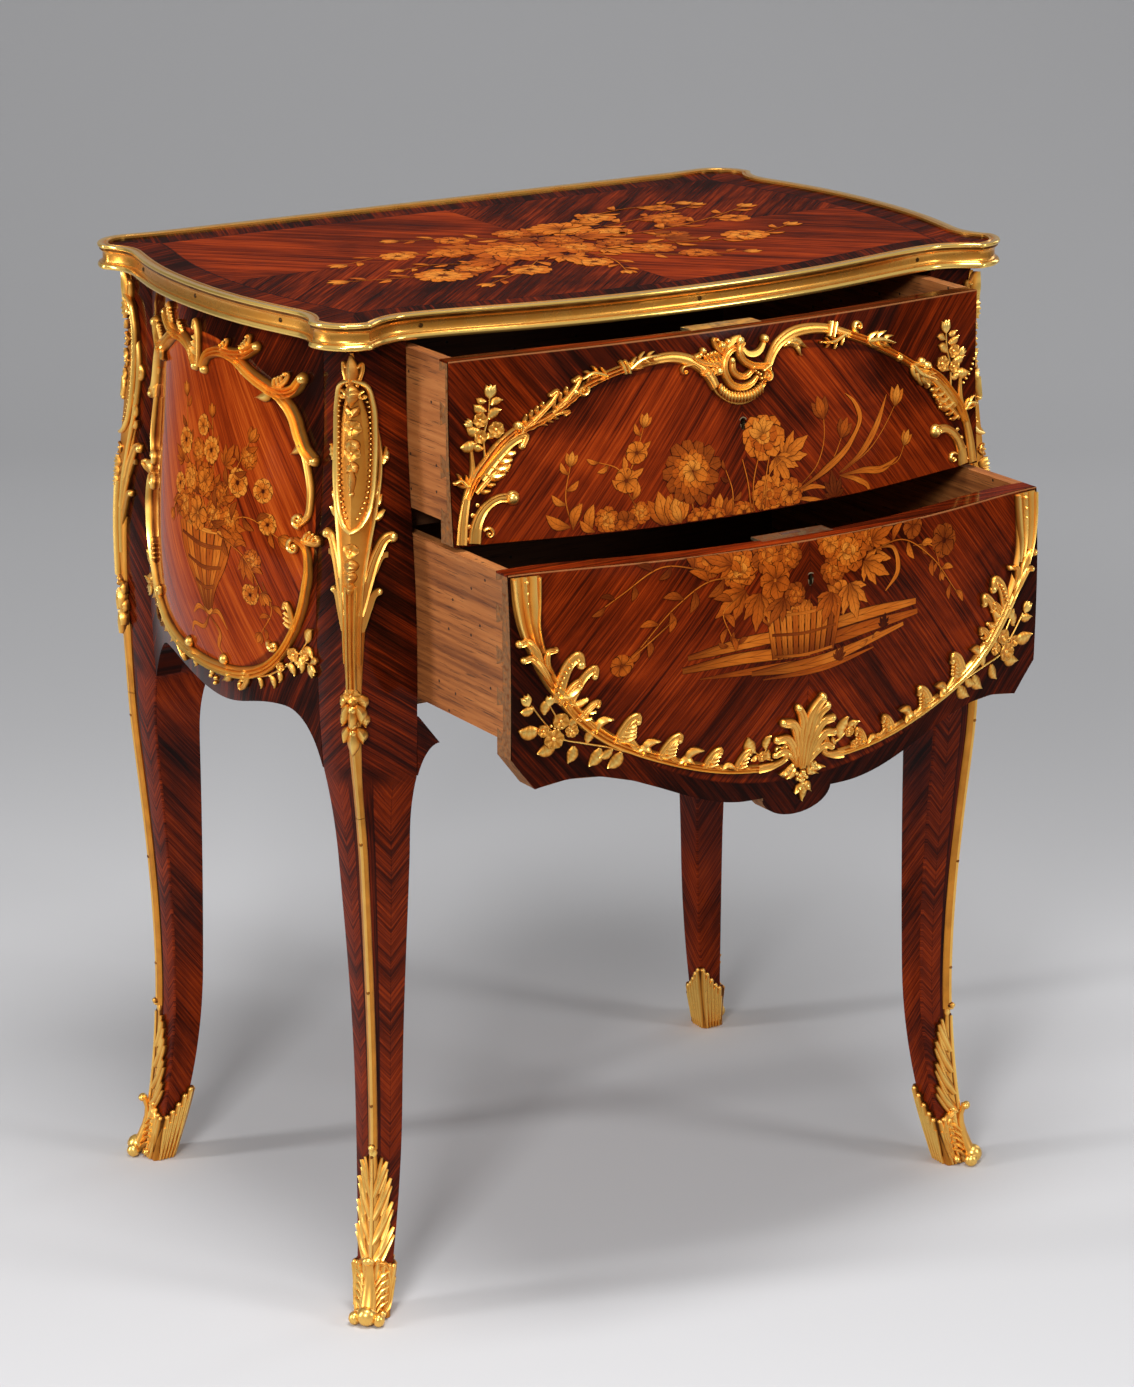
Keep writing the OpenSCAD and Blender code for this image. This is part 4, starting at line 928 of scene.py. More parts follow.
profiles = {"round": lambda s, t: np.maximum(0, 1 - s * s) ** 0.6 + 0 * t, "flute": lambda s,
            t: (1 - s ** 8) * (0.58 + 0.42 * np.cos(3 * np.pi * s)) + 0 * t, "rolled": lambda s,
            t: (1 - s ** 8) * (0.3 + 0.7 * np.abs(s) ** 1.5 + 0.3 * np.exp(-(s / 0.22) ** 2)) + 0
            * t, "leaf": lambda s, t: (1 - np.abs(s) ** 3) * 0.6 + 0.35 * np.exp(-(s / 0.2) ** 2)
            + 0 * t, "veined": lambda s,
            t: ((1 - np.abs(s) ** 3) * (0.58 + 0.2 * np.cos(2 * np.pi * (4 * t - 1.1 * np.abs(s))))
                + 0.28 * np.exp(-(s / 0.17) ** 2)), "dish": lambda s, t: (1 - s ** 10)
            * (0.25 + 0.75 * s * s) + 0 * t, "flat": lambda s, t: (1 - s ** 10) + 0 * t,}


# Share of the width that a number of nicks leave along a form
def nicks(notch, t):
    return 1 - notch[1] * (0.5 - 0.5 * np.cos(2 * np.pi * notch[0] * t))


def away(u, v, angle, reach):
    return u + math.cos(angle) * reach, v + math.sin(angle) * reach


def normals(line):
    ahead = np.gradient(line, axis=0)
    ahead /= np.maximum(np.linalg.norm(ahead, axis=1), 1e-9)[:, None]
    return ahead, np.stack([-ahead[:, 1], ahead[:, 0]], -1)


# A mount: closed forms that stand on one face of the chest
class Mount(Shell):
    def __init__(self, face):
        super().__init__()
        self.face = face

    # A band along a path; half its width, its relief and its lift are given from end to end
    def strip(self, path, half, relief=2.0, kind="round", edge=0.5, lift=0.0, lanes=7, gap=2.0,
              notch=(0, 0), tone=None, sink=0.7):
        line = np.array(path, float)
        length = np.linalg.norm(np.diff(line, axis=0), axis=1).sum()
        count = max(5, int(length / gap) + 2, int(notch[0] * 6))
        line = curve(line, count)
        across = normals(line)[1]
        t = np.linspace(0, 1, count)[:, None]
        s = np.sin(np.linspace(-1, 1, lanes) * math.pi / 2)[None, :]
        wide = np.maximum(spread(half, count), 0.12)[:, None] * nicks(notch, t)
        share = profiles[kind](s, t)
        up = spread(lift, count)[:, None]
        u = line[:, :1] + across[:, :1] * wide * s
        v = line[:, 1:] + across[:, 1:] * wide * s
        top = self.face.at(u, v, edge + up + spread(relief, count)[:, None] * share)
        sides = [0, -1]
        under = self.face.at(u[:, sides], v[:, sides], up * 0.6 - sink)
        level = share if tone is None else np.full_like(share, tone)
        self.ribbon(top, under, np.stack([t * length + 0 * s, s + 0 * t, level], -1))

    def roll(self, path, half, relief, lift=0.0, gap=2.0):
        self.strip(path, half, relief, "rolled", lift=lift, lanes=9, gap=gap)

    def dome(self, u, v, radius, high=None, lift=0.0, around=10, sink=0.7, tone=None):
        high = radius * 0.9 if high is None else high
        a = np.linspace(0, 2 * math.pi, around, endpoint=False)
        rise = np.array([0, 0, 0.3, 0.7, 1.08, 1.4])[:, None]
        x, y = radius * np.cos(rise) * np.cos(a), radius * np.cos(rise) * np.sin(a)
        h = lift + high * np.sin(rise) + 0 * a
        h[0] = -sink
        level = np.sin(rise) + 0 * a if tone is None else np.full_like(h, tone)
        self.rings(self.face.at(u + x, v + y, h),
                   np.stack([x + 0 * h, np.cos(rise) + 0 * a, level], -1))

    def scroll(self, centre, radius, start, turns, half, relief=2.0, hand=1, lead=(), lift=0.0):
        a = np.linspace(0, turns * 2 * math.pi, max(8, int(14 * turns)))
        r = radius * (1 - 0.72 * a / a[-1])
        spiral = [away(*centre, start + hand * turn, reach) for turn, reach in zip(a, r)]
        taper = (1, 1, 0.9, 0.6, 0.4) if lead else (1, 1, 1, 0.7, 0.45)
        self.strip(list(lead) + spiral, [half * share for share in taper], relief, lift=lift,
                   gap=1.0)
        self.dome(*centre, radius * 0.34, relief + 0.5, lift)

    def acanthus(self, path, width, lobes=4, relief=3.0, lift=0.0):
        line = curve(path, 25)
        ahead, across = normals(line)
        w = width * 0.6
        rising = [lift, lift + 0.25 * relief, lift + 0.6 * relief]
        for side in (-1, 1):
            for k in range(lobes):
                t = (k + 0.3) / (lobes + 0.3)
                p, fwd, out = line[int(t * 24)], ahead[int(t * 24)], across[int(t * 24)] * side
                reach = w * (0.75 + 0.45
                             * math.sin(math.pi * min(1, 0.25 + 0.7 * t))) * (1.05 - 0.4 * t)
                self.strip([p - fwd * reach * 0.3, p + out * reach * 0.55 + fwd * reach * 0.4,
                            p + out * reach + fwd * reach * 1.25],
                           [0.2 * w, 0.34 * w, 0.36 * w, 0.26 * w, 0.1 * w], relief * 0.8, "leaf",
                           lift=rising, gap=1.3)
        self.strip(path, [0.3 * w, 0.42 * w, 0.4 * w, 0.3 * w, 0.18 * w], relief, lift=rising)
        self.dome(*line[-1], 0.24 * w, relief * 0.8, lift + 0.4 * relief, 8)

    # A leaf whose head curls over, with lobes that step down one side
    def crest(self, base, tip, width, side=-1, relief=3.4, lobes=3):
        base, along = np.array(base, float), np.array(tip, float) - base
        high = np.linalg.norm(along)
        along /= high
        out = side * np.array([-along[1], along[0]])
        lift = [0.2, 0.8, 1.6]
        w = width
        for k in range(lobes):
            p = base + along * high * (0.1 + 0.62 * k / lobes)
            reach = w * (0.66 - 0.1 * k)
            end = p + out * reach + along * reach * 0.85
            self.strip([p, p + out * reach * 0.6 + along * reach * 0.25, end],
                       [0.16 * w, 0.22 * w, 0.22 * w, 0.12 * w], relief * 0.85, "leaf", lift=lift,
                       gap=1.2)
            self.dome(*end, 0.13 * w, relief * 0.6, 1.2, 8)
        end = base + along * high * 0.84 + out * w * 0.4
        self.roll([base, base + along * high * 0.45 - out * w * 0.1, base + along * high * 0.85,
                   base + along * high + out * w * 0.2, end],
                  [0.22 * w, 0.25 * w, 0.23 * w, 0.21 * w, 0.16 * w], relief, lift=lift, gap=1.2)
        self.dome(*end, 0.19 * w, relief * 0.9, 1.5)

    def frond(self, base, tip, width, bend=0.0, relief=1.8, kind="veined", lift=0.0, lanes=5):
        base, tip = np.array(base, float), np.array(tip, float)
        along = tip - base
        middle = (base + tip) / 2 + np.array([-along[1], along[0]]) * bend
        w = width * 0.62
        self.strip([base, middle, tip], [0.3 * w, 0.85 * w, w, 0.72 * w, 0.1 * w], relief, kind,
                   lift=lift, lanes=lanes, gap=1.4)

    def rosette(self, u, v, radius, petals=6, relief=2.0, lift=0.0, turn=0.0):
        for k in range(petals):
            a = turn + 2 * math.pi * k / petals
            w = radius * math.sin(math.pi / petals) * 1.25
            self.strip([away(u, v, a, radius * 0.2), away(u, v, a, radius)],
                       [0.4 * w, 0.9 * w, w * 1.05, 0.85 * w, 0.35 * w], relief * 0.7, "dish",
                       lift=[lift, lift + relief * 0.5, lift + relief * 0.35], lanes=5, gap=1.2)
        self.dome(u, v, radius * 0.3, relief * 1.1, lift)

    def cast(self, name, body, replaced):
        self.build(name, body, "gilt", gilt, [replaced], sharp=45)

    def beads(self, path, radius, count, high, lift=0.0):
        for u, v in curve(path, count):
            self.dome(u, v, radius, high, lift, 7)

    def spray(self, stems, leaves, buds, flowers):
        for path in stems:
            self.strip(path, [0.9, 0.8, 0.6], 1.2, lanes=5, lift=0.4)
        for u, v, a, size in leaves:
            self.frond((u, v), away(u, v, math.radians(a), size), size * 0.55, 0.12, 1.6,
                       lift=[0.2, 0.8, 1.2])
        for u, v, a, size in buds:
            for turn in (-0.35, 0.0, 0.35):
                self.frond((u, v), away(u, v, math.radians(a) + turn, size), size * 0.5, 0, 1.6,
                           "round", [0.4, 1.2, 0.8])
        for u, v, radius, petals in flowers:
            self.rosette(u, v, radius, petals, 2.4, 0.5, radius)


def mirrored(face):
    return Face(lambda u, v: face.spot(-u, v), -face.turned)


def flip(way, points):
    return [(way * u, v) for u, v in points]


def each(make, rows, *rest, **more):
    for row in rows:
        make(*row, *rest, **more)


# Lower garland: hangs from the top corners of the lower front to the shell in the middle
def lowerGarland(side, where):
    m = Mount(lowerFace if side < 0 else mirrored(lowerFace))
    m.strip([(-220, 607), (-220, 589), (-218, 570), (-213, 552), (-205, 533), (-193, 515),
             (-179, 498), (-161, 483), (-141, 472), (-116, 461), (-88, 451), (-59, 444),
             (-33, 441)], [11.5, 10.5, 7.8, 6, 5.4, 5.6, 5, 4.4, 4, 3.7, 3.5, 3.3, 3.4],
            [3, 4.5, 4, 3.4, 3.2, 3.2, 3], "flute", lanes=13, gap=3)
    m.strip([(-229, 606), (-228, 588), (-225, 570), (-219, 553)], [1.6, 1.5, 1.3, 1], 5.5, lift=0.4)
    m.strip([(-210, 606), (-211, 588), (-212, 570), (-210, 556)], [1.6, 1.5, 1.3, 1], 5.5, lift=0.4)
    for v, r in ((603, 2.2), (595, 1.8), (588, 1.5), (582, 1.2)):
        m.dome(-219.5, v, r, 4.4)
    for path, half in (([(-208, 536), (-213, 547), (-217, 556), (-222, 561), (-227, 560)], 3.4),
                       ([(-203, 527), (-209, 538), (-214, 545), (-219, 549), (-224, 548)], 3),
                       ([(-203, 536), (-207, 544), (-206, 552), (-200, 553)], 2.3)):
        m.roll(path, [0.3 * half, 0.8 * half, 1.1 * half, half, 0.7 * half], 4.6,
               lift=[1.4, 2.6, 2.4], gap=1.2)
        m.dome(*path[-1], 0.9 * half, 4.4, 1.6)
    m.crest((-199, 514), (-187, 548), 19, -1, 4, 1)
    m.crest((-191, 509), (-174, 538), 14, -1, 3.6, 1)
    m.beads([(-199, 522), (-194, 534), (-189, 542)], 1.2, 7, 2.4, 3.4)
    crests = (((-183, 499), (-170, 513), 9, 2, -0.6), ((-154, 478), (-142, 499), 14, 4, -0.5),
              ((-121, 462), (-108, 480), 12, 4, -0.35), ((-84, 450), (-74, 464), 10, 3, -0.25),
              ((-58, 444), (-49, 459), 9, 3, -0.15), ((-197, 512), (-184, 530), 9, 0, -0.95))
    for base, tip, width, lobes, fall in crests:
        m.crest(base, tip, width, -1, 3.4, lobes)
        x, y, w = *base, width
        m.roll([(x + 1.6 * w, y + 1.6 * fall * w), (x + 0.95 * w, y + (0.95 * fall + 0.26) * w),
                (x + 0.58 * w, y + (0.58 * fall + 0.75) * w),
                (tip[0] - 0.02 * w, tip[1] - 0.25 * w)], [0.1 * w, 0.2 * w, 0.22 * w, 0.14 * w],
               3.2, lift=[0.2, 0.6, 1.2], gap=1.2)
    each(m.frond, [((-170, 488), (-158, 498), 6), ((-134, 467), (-122, 477), 6),
                   ((-100, 455), (-87, 465), 6), ((-139, 470), (-127, 468), 5),
                   ((-106, 456), (-93, 455), 5), ((-70, 446), (-58, 445), 4)], 0.25, 2.6, "leaf",
         [0.4, 1.4, 2.6], 7)
    m.spray([[(-132, 466), (-144, 470), (-160, 476), (-178, 481), (-196, 487), (-208, 500),
              (-218, 514)], [(-196, 487), (-198, 500), (-204, 512)]],
            [(-200, 484, 205, 15), (-212, 495, 175, 16), (-186, 480, 250, 13), (-166, 476, 235, 15),
             (-150, 471, 225, 15), (-190, 490, 60, 13), (-208, 506, 70, 12), (-176, 481, 60, 11),
             (-216, 512, 190, 11), (-157, 474, 205, 11)], [(-220, 514, 115, 9), (-205, 512, 80, 8)],
            [(-201, 487, 7.5, 6), (-196, 500, 6, 5), (-188, 492, 5, 6), (-209, 494, 4.5, 5)])
    m.beads([(-203, 497), (-198, 494), (-193, 497)], 1.3, 5, 2, 1)
    m.cast("garland_" + where, "lower_drawer", "lower_mount_" + where)


# Shell in the middle of the lower front, with its husk and side sprays
def lowerShell():
    m = Mount(lowerFace)
    fan = [([(-4, 438), (-10, 447), (-18, 452), (-25, 450)], 6, 3.6),
           ([(4, 438), (11, 446), (19, 451), (26, 448)], 6, 3.6),
           ([(-4, 438), (-9, 452), (-17, 462), (-25, 462)], 7, 4.2),
           ([(4, 438), (10, 452), (18, 461), (26, 460)], 7, 4.2),
           ([(-3, 438), (-6, 458), (-13, 473), (-21, 475)], 7.5, 4.8),
           ([(3, 438), (7, 457), (15, 471), (23, 472)], 7.5, 4.8),
           ([(-2, 438), (-3, 462), (-5, 478), (-9, 485)], 7.5, 5.2),
           ([(2, 438), (5, 460), (11, 479), (17, 483)], 7.5, 5.2),
           ([(0, 436), (1, 462), (5, 482), (12, 490)], 8.5, 5.6)]
    for path, width, relief in fan:
        m.roll(path, [0.3 * width, 0.42 * width, 0.5 * width, 0.52 * width, 0.4 * width], relief,
               lift=[1, 1.4, 2], gap=1.6)
        m.dome(path[-1][0], path[-1][1], 0.42 * width, relief * 0.9, 1.8)
    curls = ((-1, [(-9, 450), (-12, 456), (-16, 457), (-18, 452), (-15, 447), (-25, 442),
                   (-38, 441)]),
             (1, [(10, 448), (13, 455), (18, 457), (21, 452), (19, 446), (28, 441), (38, 440)]))
    for side, path in curls:
        m.roll(path, [1.4, 2, 2.2, 2.2, 2.6, 3.4, 3.6], 4, lift=0.6, gap=1.2)
        m.dome(12.5 * side, 449, 2.4, 4.5, 0.6)
        m.frond((8 * side, 440), (20 * side, 434), 6, -0.25 * side, 3, lift=[0.5, 1.5, 2])
        m.frond((6 * side, 437), (14 * side, 430), 5, -0.25 * side, 3, lift=[0.5, 1.5, 2])
    m.scroll((-22, 453), 3.4, 0, 1.0, 1.1, 2.6)
    m.beads([(-8, 438), (-4, 432), (2, 429), (8, 431), (12, 437)], 2.2, 8, 3.2, 0.5)
    m.beads([(-2, 427), (2, 425), (6, 427)], 1.9, 4, 3, 0.4)
    m.dome(2, 432, 2.6, 4, 0.6)
    m.strip([(2, 428), (3, 421)], [1.2, 1.6], 2.4)
    for tip in ((-4, 416), (3, 409), (10, 416)):
        m.frond((3, 423), tip, 6, 0.1, 2.6, lift=[0.4, 1, 1.4])
    m.spray([[(-26, 446), (-34, 449), (-42, 455)], [(-34, 449), (-32, 458)],
             [(26, 449), (33, 452), (40, 459)], [(38, 457), (46, 458), (50, 450)]],
            [(-42, 455, 120, 15), (-33, 456, 75, 11), (-38, 452, 200, 8), (-28, 447, 110, 9),
             (34, 453, 75, 17), (40, 458, 40, 10), (46, 459, 60, 6), (30, 449, 120, 8),
             (50, 451, 300, 6)], [], [(-36, 451, 4, 5), (41, 457, 4, 5), (47, 446, 3.6, 6)])
    m.cast("shell", "lower_drawer", "lower_shell")


# Upper arms: stems and leafage up the ends of the upper front, then over to the cartouche
def upperCorner(m):
    m.roll([(-227, 614), (-225, 630), (-221, 648), (-216, 664), (-216, 680)],
           [4.2, 3.8, 3.2, 2.4, 1.2], [4, 4, 3.4, 2.4])
    m.roll([(-217, 614), (-215, 626), (-208, 638), (-198, 644), (-188, 644)],
           [5, 4.6, 3.8, 3.4, 3.8], [4, 4.4, 4.2, 4.2])
    m.dome(-187, 643.5, 5.2, 5.4, 0.4)
    m.scroll((-188, 644), 5, 0.4, 0.8, 1.2, 4, 1)
    for u, v, r in ((-222, 617, 1.5), (-220, 626, 1.5), (-217, 634, 1.4), (-213, 641, 1.2)):
        m.dome(u, v, r + 0.6, 1.4)
        m.dome(u, v, r * 0.5, 2.4)
    m.strip([(-221, 646), (-214, 660), (-204, 672), (-193, 684), (-182, 692)], [3, 4, 4.4, 4, 3],
            [3.5, 4.5, 4.5, 4], "flute", lanes=11)
    m.crest((-210, 660), (-178, 690), 16, -1, 4.4, 4)
    m.crest((-214, 650), (-190, 670), 9, -1, 3.6, 3)
    m.acanthus([(-220, 655), (-226, 660), (-231, 659)], 7, 2, 3, 0.6)
    m.scroll((-206, 620), 4.4, 2.6, 1.0, 1.3, 3, -1)
    m.dome(-180, 695, 3.6, 5, 0.6)
    m.scroll((-181, 694), 5.2, -1.4, 0.9, 1.4, 3.5, 1)
    m.spray([[(-206, 674), (-206, 690), (-202, 706), (-201, 718)], [(-206, 690), (-214, 697)]],
            [(-204, 708, 150, 11), (-202, 702, 35, 11), (-208, 694, 165, 12), (-212, 686, 190, 13),
             (-204, 688, 20, 9), (-207, 681, 150, 9), (-200, 712, 20, 9), (-204, 715, 160, 8)],
            [(-201, 717, 85, 10), (-215, 698, 140, 7)],
            [(-209, 702, 5.4, 6), (-197, 694, 6, 6), (-209, 690, 5, 5)])


def upperArms():
    left, right = Mount(upperFace), Mount(mirrored(upperFace))
    upperCorner(left)
    upperCorner(right)
    right.face = upperFace
    left.strip([(-184, 690), (-172, 694), (-157, 700), (-143, 708), (-127, 719)],
               [3.6, 4, 3.4, 3.2, 3.6], 3.6, "flute", lanes=9, notch=(9, 0.22))
    left.crest((-177, 692), (-149, 716), 9, 1, 4.4, 4)
    left.crest((-154, 702), (-131, 724), 9, 1, 4.4, 3)
    left.crest((-166, 696), (-142, 703), 6, -1, 3.6, 3)
    left.scroll((-130, 716), 4.6, 0.5, 1.0, 1.6, 4, -1)
    left.dome(-136, 715, 3, 5)
    left.strip([(-127, 719), (-112, 724), (-96, 728)], [3.6, 3.2, 3.4], 4, "flute", lanes=9)
    for u in (-98, -94.5):
        left.strip([(u - 1.5, 733.5), (u + 1, 729), (u + 2, 724)], [1.5, 1.8, 1.5], 5, gap=1)
    left.acanthus([(-110, 724), (-122, 727), (-131, 724)], 7, 3, 3, 1)
    left.roll([(-95, 728), (-72, 731), (-54, 731), (-41, 727), (-32, 721), (-26, 714), (-22, 706)],
              [3.4, 3.6, 3.8, 4.2, 4.6, 4.6, 4], [4, 4.2, 4.6, 5, 5])
    left.acanthus([(-92, 727), (-80, 733), (-68, 734)], 7, 3, 3, 1.6)
    left.scroll((-47, 720.5), 3.6, 1.2, 0.9, 1.4, 4, 1, [(-34, 720), (-40, 724)])
    right.roll([(22, 706), (26, 718), (34, 729), (47, 736), (66, 738), (86, 735), (103, 729)],
               [3, 3.6, 4.2, 4.4, 4, 3.6, 3.4], [5, 5, 4.6, 4.2, 4])
    right.strip([(103, 729), (118, 723), (134, 715), (151, 706), (170, 695), (184, 689)],
                [3.4, 3.6, 3.4, 3.2, 3.6, 3.4], 4, "flute", lanes=9)
    for u, v in ((84, 735.5), (88, 734.5)):
        right.strip([(u + 1.5, v + 5.5), (u, v), (u - 2, v - 5)], [1.5, 1.9, 1.5], 5, gap=1)
    right.scroll((111, 734), 4.6, -2, 1.0, 1.5, 4, -1)
    right.acanthus([(118, 722), (131, 722), (143, 718)], 9, 3, 3.4, 1.4)
    right.acanthus([(98, 730), (86, 726), (74, 727)], 7, 3, 3, 0.8)
    right.frond((40, 728), (60, 725), 6, 0.25, 3, lift=[0.5, 1.2, 2.4])
    right.frond((44, 730), (54, 720), 5, 0.3, 3, lift=[0.5, 1.2, 2.4])
    right.acanthus([(164, 698), (172, 690), (186, 684)], 10, 4, 3.4, 1)
    right.dome(174, 699, 3.6, 5, 0.6)
    right.dome(151, 705.5, 3.4, 5)
    right.beads([(219, 676), (226, 684), (230, 693)], 1.3, 6, 2.6, 0.8)
    left.cast("arm_left", "upper_drawer", "upper_mount_left")
    right.cast("arm_right", "upper_drawer", "upper_mount_right")


# Cartouche: openwork scrolls over a gadrooned edge
def upperCartouche():
    m = Mount(upperFace)
    m.roll([(3, 731), (-4, 732), (-10, 729), (-14, 722), (-13, 713), (-8, 706), (0, 703.5),
            (9, 706), (14, 710)], [2.4, 2.8, 3, 3, 3, 3, 3, 2.6, 1.6], [6, 7, 7, 7, 6], gap=1.2)
    m.roll([(-7, 723), (-7, 717), (-3, 712.5), (3, 711), (8, 713.5), (11, 715.5)],
           [2.6, 2.8, 2.6, 2.6, 2.4, 1.8], 6, gap=1.2, lift=0.6)
    m.dome(-7, 723.5, 3, 6, 0.8)
    m.roll([(3, 736), (0, 731), (1, 725), (7, 719.5), (15, 717), (24, 716.5)],
           [3.2, 3, 2.8, 2.8, 2.8, 2.4], 7, gap=1.2, lift=1)
    m.dome(2, 736.5, 4, 6, 1)
    m.strip([(4, 731), (7, 727.5), (13, 726), (19, 728), (23, 733)], [1.6, 2.2, 2.4, 2.2, 1.8], 5.5,
            "rolled", lanes=7, gap=1.2)
    m.dome(24, 735.5, 3.6, 6, 0.6)
    m.scroll((22, 709), 5.4, 2.2, 1.15, 1.8, 6, -1, [(26, 716.5)])
    m.strip([(-23, 708), (-19, 703), (-12, 698.5), (-2, 696), (9, 697.5), (17, 702), (21, 705)],
            [3, 3.6, 4.4, 4.8, 4.4, 3.4, 2], 4.6, "dish", lanes=9, gap=1.4)
    for i, (u, v) in enumerate(curve([(-19, 707), (-13, 701.5), (-3, 699), (8, 700), (15, 703.5)],
                                     15)):
        m.frond((u, v + 1.5), (u + (i - 7) * 0.2, v - 6), 2.6, 0, 3, "round", [3, 4, 2.6])
    m.dome(-18, 717, 3.4, 5.5, 0.6)
    m.rosette(-20, 720, 4.6, 6, 2.4, 1.5)
    m.beads([(11, 717), (13, 713), (16, 712), (17, 708)], 1.7, 5, 4.6, 1)
    m.crest((-13, 722), (-38, 727), 11, -1, 4.6, 4)
    m.crest((-15, 719), (-34, 718), 6, 1, 3.8, 3)
    m.crest((-11, 728), (-22, 739), 8, -1, 4.6, 3)
    each(m.dome, [(-13, 735, 3.2), (-8, 737, 2.6), (-30, 733, 2.8)], 4.6, 0.8)
    m.strip([(-9, 733), (-3, 738), (3, 739)], [2, 2.6, 2], 5, "rolled", lanes=7, gap=1.2, lift=0.5)
    m.cast("cartouche", "upper_drawer", "upper_cartouche")


for side, where in flanks:
    lowerGarland(side, where)
lowerShell()
upperArms()
upperCartouche()
print("drawer mounts chased")


# Frame round the field of a side: rocaille scrolls, a notch at the top and flower sprays
def sideMount(side, where):
    m = Mount(sideFace(side))
    for way in (-1, 1):
        scrolls = (([(6, 708), (12, 717), (26, 723), (44, 724), (60, 727), (72, 734)], 4.6, 3.8),
                   ([(34, 723), (50, 721), (66, 713), (80, 707), (94, 703), (107, 707), (116, 717)],
                    5, 4.8), ([(84, 705), (98, 699), (108, 688), (114, 674), (120, 664),
                               (129, 658)], 5.2, 4.2))
        for points, wide, head in scrolls:
            m.strip(flip(way, points), [0.5 * wide, 0.9 * wide, wide, wide, 0.9 * wide], 5.4,
                    "flute", lift=0.4, lanes=13)
            m.dome(way * points[-1][0], points[-1][1], head, head + 2, 0.6)
        m.dome(way * 7, 706, 4, 5.5)
        m.roll(flip(way, [(106, 684), (115, 668), (122, 650), (126, 632), (124, 616), (116, 608)]),
               [2, 2.6, 3, 3.2, 3, 2], 3.8)
        m.scroll((way * 116, 612), 5.4, -1.2 if way > 0 else -1.9, 1.0, 2, 4, -way)
        m.scroll((way * 113, 592), 5.6, 1.8 if way > 0 else 1.3, 1.0, 2, 4, way)
        m.strip(flip(way, [(114, 598), (124, 593), (128, 579), (126, 562), (121, 544), (112, 526),
                           (99, 508), (82, 494), (62, 485), (38, 480), (14, 478), (0, 477.5)]),
                [2, 3, 3.8, 3.6, 3.6, 3.8, 4.2, 4.6, 5, 5, 5, 5], [4, 4.4, 4, 4, 4.4, 4.4], "flute",
                lanes=13, gap=2.6)
        m.crest((way * 120, 598), (way * 142, 599), 10, way, 3.6, 3)
        m.crest((way * 88, 704), (way * 104, 717), 9, way, 3.4, 3)
        m.crest((way * 56, 724), (way * 66, 740), 8, way, 3.4, 3)
        m.crest((way * 30, 723), (way * 40, 733), 6, way, 3, 2)
        m.frond((way * 84, 707), (way * 74, 697), 7, 0.3 * way, 3.4, "leaf", [0.5, 1.2, 2.2], 7)
        m.frond((way * 114, 676), (way * 108, 660), 7, 0.2 * way, 3.4, "leaf", [0.5, 1.2, 2.2], 7)
        m.crest((way * 113, 528), (way * 109, 549), 9, way, 3.4, 3)
        m.crest((way * 60, 484), (way * 46, 468), 9, -way, 3.4, 3)
        m.dome(way * 28, 488, 4.4, 5, 0.4)
        m.frond((way * 30, 480), (way * 22, 470), 6, 0.2, 3, lift=[0.4, 1, 1.6])
        m.scroll((way * 92, 513), 5, 2.6 if way > 0 else 0.6, 1.0, 1.6, 3.6, way)
        m.spray([flip(way, [(60, 482), (78, 486), (98, 496), (114, 508), (126, 522)]),
                 flip(way, [(114, 508), (128, 506)])],
                [(way * u, v, a if way > 0 else 180 - a, size) for u, v, a,
                 size in ((70, 484, 290, 9), (84, 488, 300, 10), (94, 494, 280, 9),
                          (104, 501, 320, 11), (116, 509, 290, 12), (126, 522, 60, 13),
                          (122, 516, 340, 12), (130, 507, 20, 10), (110, 506, 330, 9))],
                [(way * 127, 505, -40 if way > 0 else 220, 10)],
                [(way * 112, 510, 5.5, 6), (way * 124, 512, 4.6, 5), (way * 98, 498, 4, 6)])
    each(m.dome, [(0, 470, 2.4), (-4, 466, 2), (4, 466, 2), (0, 461, 1.8)], 3)
    m.crest((-3, 706), (-5, 740), 11, 1, 4.4, 4)
    m.crest((-60, 722), (-64, 742), 9, -1, 3.6, 3)
    m.cast("side_mount_" + where, "carcass", "side_frame_" + where)


for side, where in flanks:
    sideMount(side, where)


